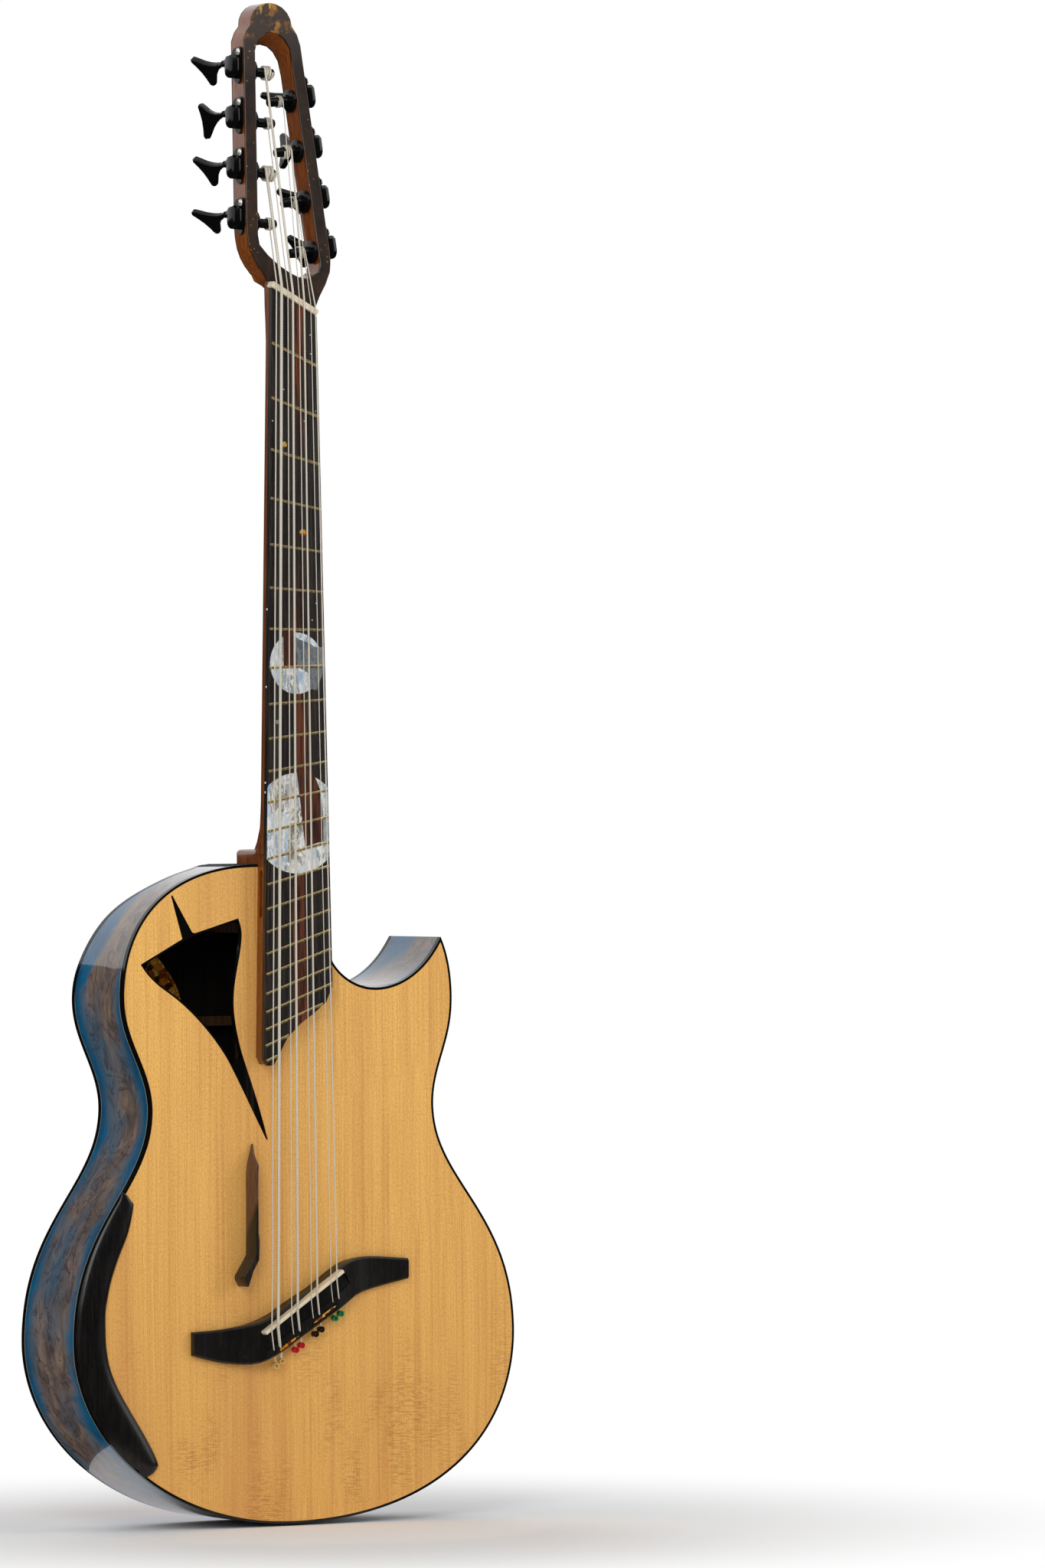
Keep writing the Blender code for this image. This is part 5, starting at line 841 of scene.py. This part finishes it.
BIG_BAND = ((-0.0007, -0.3935), (0.0141, -0.3935), (0.0184, -0.4025), (0.0221, -0.4111), (0.0235, -0.4223),
            (0.0243, -0.4347), (0.0246, -0.4530), (0.0070, -0.4579))
SMALL_BAND = ((-0.0125, -0.2780), (-0.0031, -0.2772), (-0.0006, -0.2940), (0.0005, -0.3072), (-0.0126, -0.3069))
SMALL_DULL = ((-0.0031, -0.2815), (0.0035, -0.2850), (0.0116, -0.2875), (0.0183, -0.2911), (0.0286, -0.2911),
              (0.0285, -0.3077), (0.0194, -0.3270), (0.0113, -0.3255), (0.0114, -0.3130), (0.0005, -0.3072),
              (-0.0006, -0.2940))
DISCS = (("small", (0.0, -0.3045), 0.0256), ("big", (-0.0005, -0.4380), 0.0420))
FLECKED_DOTS = ((-0.0103, -0.1220, 0.0024), (0.0069, -0.1955, 0.0030))
GREY_DOTS = ((-0.0190, -0.3535, 0.0017), (0.0214, -0.4521, 0.0021))
SPECKS = ((0.0153, -0.0303), (0.0159, -0.0461), (-0.0119, -0.0685), (-0.0105, -0.0761), (0.0091, -0.1024),
          (0.0199, -0.0940), (-0.0215, -0.1024), (0.0153, -0.2685), (0.0193, -0.2545), (0.0172, -0.0560))
SIDE_DOTS = (-0.2595, -0.3242, -0.4041, -0.4121)


def circle(x, z, radius, count=48):
    steps = [2 * math.pi * k / count for k in range(count)]
    return [(x + radius * math.cos(step), z + radius * math.sin(step)) for step in steps]


def board_edge(tree, z, side):
    """Where the fretboard's front ends at a height z."""
    inside, outside = 0.0, side * 0.060
    for _ in range(18):
        middle = (inside + outside) / 2
        hit = tree.ray_cast(Vector((middle, -1.0, z)), Vector((0, 1, 0)))[0]
        if hit is not None and hit.y < BOARD_TOP + 0.0006:
            inside = middle
        else:
            outside = middle
    return inside


def build_inlays():
    """Shell discs crossed by a rosewood band, dots and specks in the fretboard, and its side dots."""
    tree = node_tree("fretboard")

    def on_board(loop):
        result = []
        for x, z in loop:
            low, high = board_edge(tree, z, -1) + 0.0005, board_edge(tree, z, 1) - 0.0005
            result.append((min(max(x, low), high), z))
        return result

    def level(x, z):
        return BOARD_TOP

    def raised(x, z):
        return BOARD_TOP - sizes().pearl_proud

    for name, (x, z), radius in DISCS:
        inlay("pearl_disc_" + name, on_board(circle(x, z, radius, 96)), level, "pearl")
    inlay("pearl_shade_small", on_board(SMALL_DULL), raised, "pearl_dull")
    inlay("disc_band_small", on_board(SMALL_BAND), raised, "rosewood")
    inlay("disc_band_big", on_board(BIG_BAND), raised, "rosewood")
    for number, (x, z, radius) in enumerate(FLECKED_DOTS):
        inlay("flecked_dot_%d" % (number + 1), circle(x, z, radius, 24), level, "amber")
    for number, (x, z, radius) in enumerate(GREY_DOTS):
        inlay("grey_dot_%d" % (number + 1), circle(x, z, radius, 24), level, "grey_pearl")
    for number, (x, z) in enumerate(SPECKS):
        inlay("speck_%02d" % (number + 1), circle(x, z, 0.0006, 8), level, "pearl")
    for number, z in enumerate(SIDE_DOTS):
        spot = tree.ray_cast(Vector((-0.1, BOARD_TOP + 0.0030, z)), Vector((1, 0, 0)))[0]
        if spot is None:
            raise RuntimeError("no fretboard side at %.4f" % z)
        bm = bmesh.new()
        ring = bmesh.ops.create_cone(bm, cap_ends=True, segments=16, radius1=0.0011, radius2=0.0009, depth=0.0003)
        bmesh.ops.rotate(bm, verts=ring["verts"], matrix=Matrix.Rotation(-math.pi / 2, 3, "Y"))
        bmesh.ops.translate(bm, verts=ring["verts"], vec=(spot.x, spot.y, spot.z))
        new_piece("side_dot_%d" % (number + 1), bm, "pearl")


def build_screw(mark, side):
    """The slotted dome of the screw at the top of a machine's plate."""
    low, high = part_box("tuner_housing_" + mark)
    post_low, post_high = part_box("tuner_post_" + mark)
    y = (post_low.y + post_high.y) / 2 - 0.0036
    z = high.z - 0.0044
    spot = node_tree("tuner_housing_" + mark).ray_cast(Vector((side * 0.3, y, z)), Vector((-side, 0, 0)))[0]
    if spot is None:
        raise RuntimeError("no screw on " + mark)
    radius, rise, rings, count = 0.0030, 0.0015, 6, 24
    bm = bmesh.new()
    layers = []
    for n in range(rings):
        turn = math.pi / 2 * n / rings
        reach, height = radius * math.cos(turn), rise * math.sin(turn) - 0.0004
        steps = [2 * math.pi * k / count for k in range(count)]
        layers.append([bm.verts.new((spot.x + side * height, y + reach * math.cos(step), z + reach * math.sin(step)))
                       for step in steps])
    for lower, upper in zip(layers, layers[1:]):
        for k in range(count):
            n = (k + 1) % count
            bm.faces.new((lower[k], lower[n], upper[n], upper[k]))
    bm.faces.new(layers[-1])
    bm.faces.new(layers[0][::-1])
    bmesh.ops.recalc_face_normals(bm, faces=bm.faces)
    new_piece("screw_dome_" + mark, bm, "bright_steel")
    # The slot is a near-black bar on the dome's top: painted shade for the slot's recess.
    bm = bmesh.new()
    slot = bmesh.ops.create_cube(bm, size=1.0)["verts"]
    bmesh.ops.scale(bm, verts=slot, vec=(0.0006, 0.0036, 0.0005))
    bmesh.ops.rotate(bm, verts=slot, matrix=Matrix.Rotation(math.radians(38), 3, "X"))
    bmesh.ops.translate(bm, verts=slot, vec=(spot.x + side * (rise - 0.00055), y, z))
    bmesh.ops.bevel(bm, geom=bm.edges[:], offset=0.0001, segments=2, affect="EDGES")
    new_piece("screw_slot_" + mark, bm, "slot_painted_shade")


def build_tuners():
    """Eight tuning machines, gloss black with bright screws."""
    for side, number in TUNERS:
        mark = "%s_%d" % (side, number)
        dressed("tuner_housing_" + mark, "tuner_black", 0.0005, segments=2)
        dressed("tuner_post_" + mark, "tuner_black", 0.0003, segments=2)
        dressed("tuner_key_" + mark, "tuner_black", 0.0010, segments=3)
        build_screw(mark, -1 if side == "bass" else 1)


def build_strings():
    """Eight strings, each with a hollow ball end coloured by course."""
    tones = ("gold", "red", "black", "green")
    for number in range(8):
        node = "string_%d" % (number + 1)
        string = dressed(node, "string_steel", angle=60)
        mesh = string.data
        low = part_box(node)[0]
        end = [vert.co.copy() for vert in mesh.vertices if vert.co.z < low.z + 0.0045]
        centre = sum(end, Vector()) / len(end)
        bm = bmesh.new()
        bm.from_mesh(mesh)
        near = [face for face in bm.faces if (face.calc_center_median() - centre).length < 0.0037]
        bmesh.ops.delete(bm, geom=near, context="FACES")
        bm.to_mesh(mesh)
        bm.free()
        bm = bmesh.new()
        rings = []
        outline = ((0.0026, 0.0022), (0.0026, -0.0022), (0.0023, -0.0026), (0.0017, -0.0026), (0.0014, -0.0022),
                   (0.0014, 0.0022), (0.0017, 0.0026), (0.0023, 0.0026))
        for k in range(28):
            turn = 2 * math.pi * k / 28
            rings.append([bm.verts.new(centre + Vector((reach * math.cos(turn), depth, reach * math.sin(turn))))
                          for reach, depth in outline])
        for ring, following in zip(rings, rings[1:] + rings[:1]):
            for n in range(len(outline)):
                m = (n + 1) % len(outline)
                bm.faces.new((ring[n], ring[m], following[m], following[n]))
        bmesh.ops.recalc_face_normals(bm, faces=bm.faces)
        new_piece("ball_end_%d" % (number + 1), bm, "ball_" + tones[number // 2])


def build_inside():
    """Linings, blocks, braces and the bridge plate keep their solids."""
    # Their wood is brown, darkened as painted shade of the box's inside.
    for node in ("top_lining", "back_lining", "neck_block", "tail_block", "top_braces", "back_braces", "bridge_plate"):
        keep(node, "inner_wood")


def area_lamp(name, place, aim, size, power, seen=True):
    lamp = bpy.data.lights.new(name, "AREA")
    lamp.shape = "RECTANGLE"
    lamp.size, lamp.size_y = size
    lamp.energy = power
    piece = bpy.data.objects.new(name, lamp)
    piece.location = place
    piece.visible_glossy = seen
    piece.rotation_euler = (Vector(aim) - Vector(place)).to_track_quat("-Z", "Y").to_euler()
    bpy.context.scene.collection.objects.link(piece)


def build_camera():
    """A long lens at the photograph's angle, on the bass side of the front."""
    studio = bpy.context.scene.bass_studio
    yaw = math.radians(30.0)
    roll = math.radians(-0.41)
    aim = Vector((0.0, 0.0, -0.40))
    lens = bpy.data.cameras.new("camera")
    lens.sensor_fit = "VERTICAL"
    lens.sensor_height = 36.0
    lens.lens = 36.0 * studio.distance / (studio.picture_height * studio.pixel)
    neck_column, neck_row = 375.6, 1015.8
    lens.shift_x = (studio.picture_width / 2 - neck_column) / studio.picture_height
    lens.shift_y = (neck_row - studio.picture_height / 2) / studio.picture_height
    lens.clip_end = 100.0
    camera = bpy.data.objects.new("camera", lens)
    forward = Vector((math.sin(yaw), math.cos(yaw), 0.0))
    camera.location = aim - forward * studio.distance
    turn = forward.to_track_quat("-Z", "Y").to_matrix()
    camera.matrix_world = Matrix.Translation(camera.location) @ (turn @ Matrix.Rotation(roll, 3, "Z")).to_4x4()
    bpy.context.scene.collection.objects.link(camera)
    bpy.context.scene.camera = camera


def build_world():
    """Even light, and white behind the object for the camera and in reflections."""
    studio = bpy.context.scene.bass_studio
    world = bpy.data.worlds.new("studio")
    world.use_nodes = True
    nodes, links = world.node_tree.nodes, world.node_tree.links
    nodes.clear()
    path = nodes.new("ShaderNodeLightPath")
    seen = nodes.new("ShaderNodeMath")
    seen.operation = "MAXIMUM"
    glossy = nodes.new("ShaderNodeMath")
    glossy.operation = "MAXIMUM"
    links.new(path.outputs["Is Camera Ray"], seen.inputs[0])
    links.new(path.outputs["Is Transmission Ray"], seen.inputs[1])
    links.new(seen.outputs[0], glossy.inputs[0])
    links.new(path.outputs["Is Glossy Ray"], glossy.inputs[1])
    fill = nodes.new("ShaderNodeBackground")
    fill.inputs["Strength"].default_value = studio.world_level
    white = nodes.new("ShaderNodeBackground")
    white.inputs["Color"].default_value = (1, 1, 1, 1)
    white.inputs["Strength"].default_value = 1.0
    both = nodes.new("ShaderNodeMixShader")
    links.new(glossy.outputs[0], both.inputs[0])
    links.new(fill.outputs[0], both.inputs[1])
    links.new(white.outputs[0], both.inputs[2])
    out = nodes.new("ShaderNodeOutputWorld")
    links.new(both.outputs[0], out.inputs["Surface"])
    bpy.context.scene.world = world


def build_floor():
    """A pale floor that keeps the shadow and fades to white away from the object."""
    studio = bpy.context.scene.bass_studio
    half = studio.floor_size / 2
    bm = bmesh.new()
    level = CAD_BOX[0][2] - 0.0005
    cells = 4
    bmesh.ops.create_grid(bm, x_segments=cells, y_segments=cells, size=half)
    mesh = bpy.data.meshes.new("floor")
    bm.to_mesh(mesh)
    bm.free()
    floor = bpy.data.objects.new("floor", mesh)
    floor.location = (0.0, 0.0, level)
    bpy.context.scene.collection.objects.link(floor)
    finish = Finish("floor_white")
    x, y, _ = finish.split()
    reach = finish.math("SQRT", finish.math("ADD", finish.math("POWER", x, 2.0), finish.math("POWER", y, 2.0)))
    fade = finish.step(reach, 0.25, 0.75)
    path = finish.add("ShaderNodeLightPath").outputs
    seen = finish.math("MAXIMUM", path["Is Camera Ray"], path["Is Glossy Ray"])
    seen = finish.math("MAXIMUM", seen, path["Is Transmission Ray"])
    glow = finish.add("ShaderNodeEmission", {"Color": (1.0, 1.0, 1.0), "Strength": 1.0})
    tone = finish.mix(finish.math("MULTIPLY", finish.noise(0.4, 3), 0.03), (0.93, 0.93, 0.93), (0.88, 0.88, 0.88))
    finish.done(tone, roughness=0.9, specular_ior_level=0.1)
    both = finish.add("ShaderNodeMixShader", {0: finish.math("MULTIPLY", fade, seen)})
    out = finish.tree.nodes["Material Output"]
    finish.tree.links.new(finish.shader.outputs[0], both.inputs[1])
    finish.tree.links.new(glow.outputs[0], both.inputs[2])
    finish.tree.links.new(both.outputs[0], out.inputs["Surface"])
    mesh.materials.append(finish.material)


def drape(name, points, low, high):
    """A hanging cloth over those floor points, between two heights."""
    bm = bmesh.new()
    rows = [[bm.verts.new((x, y, z)) for x, y in points] for z in (low, high)]
    for k in range(len(points) - 1):
        bm.faces.new((rows[0][k], rows[0][k + 1], rows[1][k + 1], rows[1][k]))
    drape_piece(name, bm)


def drape_piece(name, bm):
    """Dark cloth of that mesh, seen only in reflections."""
    mesh = bpy.data.meshes.new(name)
    bm.to_mesh(mesh)
    bm.free()
    finish = Finish(name)
    weave = finish.noise(0.02, 2)
    tone = finish.mix(weave, srgb(20, 21, 23), srgb(30, 31, 33))
    mesh.materials.append(finish.done(tone, roughness=0.95, specular_ior_level=0.05))
    piece = bpy.data.objects.new(name, mesh)
    piece.visible_camera = False
    piece.visible_diffuse = False
    piece.visible_transmission = False
    piece.visible_shadow = False
    bpy.context.scene.collection.objects.link(piece)


def build_drapes():
    """Dark cloths round and behind the object, which keep its colours deep in the lacquer."""
    studio = bpy.context.scene.bass_studio
    floor = CAD_BOX[0][2]
    spans = (("low", -40, 250, studio.drape_top), ("tall", 250, 320, studio.front_top))
    for name, start, end, top in spans:
        arc = []
        for k in range(33):
            angle = math.radians(start + (end - start) * k / 32)
            arc.append((studio.drape_radius * math.cos(angle), studio.drape_radius * math.sin(angle)))
        drape("drape_" + name, arc, floor, top)
    drape("drape_card", [(-1.6, 0.50), (1.6, 0.50)], floor, studio.card_top)
    bm = bmesh.new()
    rings = []
    for radius in (0.22, studio.drape_radius):
        steps = [2 * math.pi * k / 48 for k in range(48)]
        rings.append([bm.verts.new((radius * math.cos(step), radius * math.sin(step), floor + 0.0005))
                      for step in steps])
    for k in range(48):
        n = (k + 1) % 48
        bm.faces.new((rings[0][k], rings[1][k], rings[1][n], rings[0][n]))
    drape_piece("drape_floor", bm)


def build_stage():
    """Camera, world, floor, dark cloths and three soft lamps."""
    scene = bpy.context.scene
    scene.view_settings.view_transform = "Standard"
    build_camera()
    build_world()
    build_floor()
    build_drapes()
    level = scene.bass_studio.lamp_level
    area_lamp("key_lamp", (-2.6, -3.2, 1.3), (0.0, 0.0, -0.4), (1.6, 2.4), 62 * level)
    area_lamp("fill_lamp", (3.0, -2.4, 0.6), (0.0, 0.0, -0.5), (1.4, 2.4), 30 * level)
    area_lamp("back_lamp", (0.6, 3.4, 1.2), (0.0, 0.0, -0.5), (2.2, 2.2), 44 * level, False)


def piece_operator(label, note, work):
    """An operator class that makes one piece or group of pieces."""
    key = work.__name__.replace("build_", "")

    def execute(self, context):
        work()
        return {"FINISHED"}

    return type("BASS_OT_" + key, (Operator,), {
        "bl_idname": "bass." + key,
        "bl_label": label,
        "__doc__": note,
        "bl_options": {"REGISTER", "UNDO"},
        "execute": execute,
    })


PIECE_OPERATORS = [
    piece_operator("Stage", "Make the camera, the floor and the lights", build_stage),
    piece_operator("Body", "Finish the body's woods, bindings and rims", build_body),
    piece_operator("Rests and bridge", "Finish the thumb rest, the bridge and the saddle", build_rests),
    piece_operator("Arm rest", "Shape the crowned arm rest", build_armrest),
    piece_operator("Neck", "Finish the neck, the fretboard and the headstock", build_neck),
    piece_operator("Inlays", "Set the shell discs, the dots and the specks", build_inlays),
    piece_operator("Tuning machines", "Finish the eight tuning machines", build_tuners),
    piece_operator("Strings", "Finish the strings and their ball ends", build_strings),
    piece_operator("Inside", "Finish what is inside the body", build_inside),
]


class BASS_PT_panel(Panel):
    """The bass's pieces in the 3D view's sidebar."""
    bl_idname = "BASS_PT_panel"
    bl_label = "Acoustic Bass"
    bl_space_type = "VIEW_3D"
    bl_region_type = "UI"
    bl_category = "Bass"

    def draw(self, context):
        layout = self.layout
        for operator in PIECE_OPERATORS:
            layout.operator(operator.bl_idname)
        for group in (context.scene.bass_colours, context.scene.bass_sizes, context.scene.bass_studio):
            box = layout.box()
            for name in group.__annotations__:
                box.prop(group, name)


CLASSES = [BassColours, BassSizes, BassStudio, *PIECE_OPERATORS, BASS_PT_panel]


def register():
    for item in CLASSES:
        bpy.utils.register_class(item)
    bpy.types.Scene.bass_colours = PointerProperty(type=BassColours)
    bpy.types.Scene.bass_sizes = PointerProperty(type=BassSizes)
    bpy.types.Scene.bass_studio = PointerProperty(type=BassStudio)


def unregister():
    del bpy.types.Scene.bass_studio
    del bpy.types.Scene.bass_sizes
    del bpy.types.Scene.bass_colours
    for item in reversed(CLASSES):
        bpy.utils.unregister_class(item)


def main():
    """Makes every piece and writes the two boxes."""
    register()
    for operator in PIECE_OPERATORS:
        key = operator.bl_idname.split(".")[1]
        getattr(bpy.ops.bass, key)()


if __name__ == "__main__":
    main()
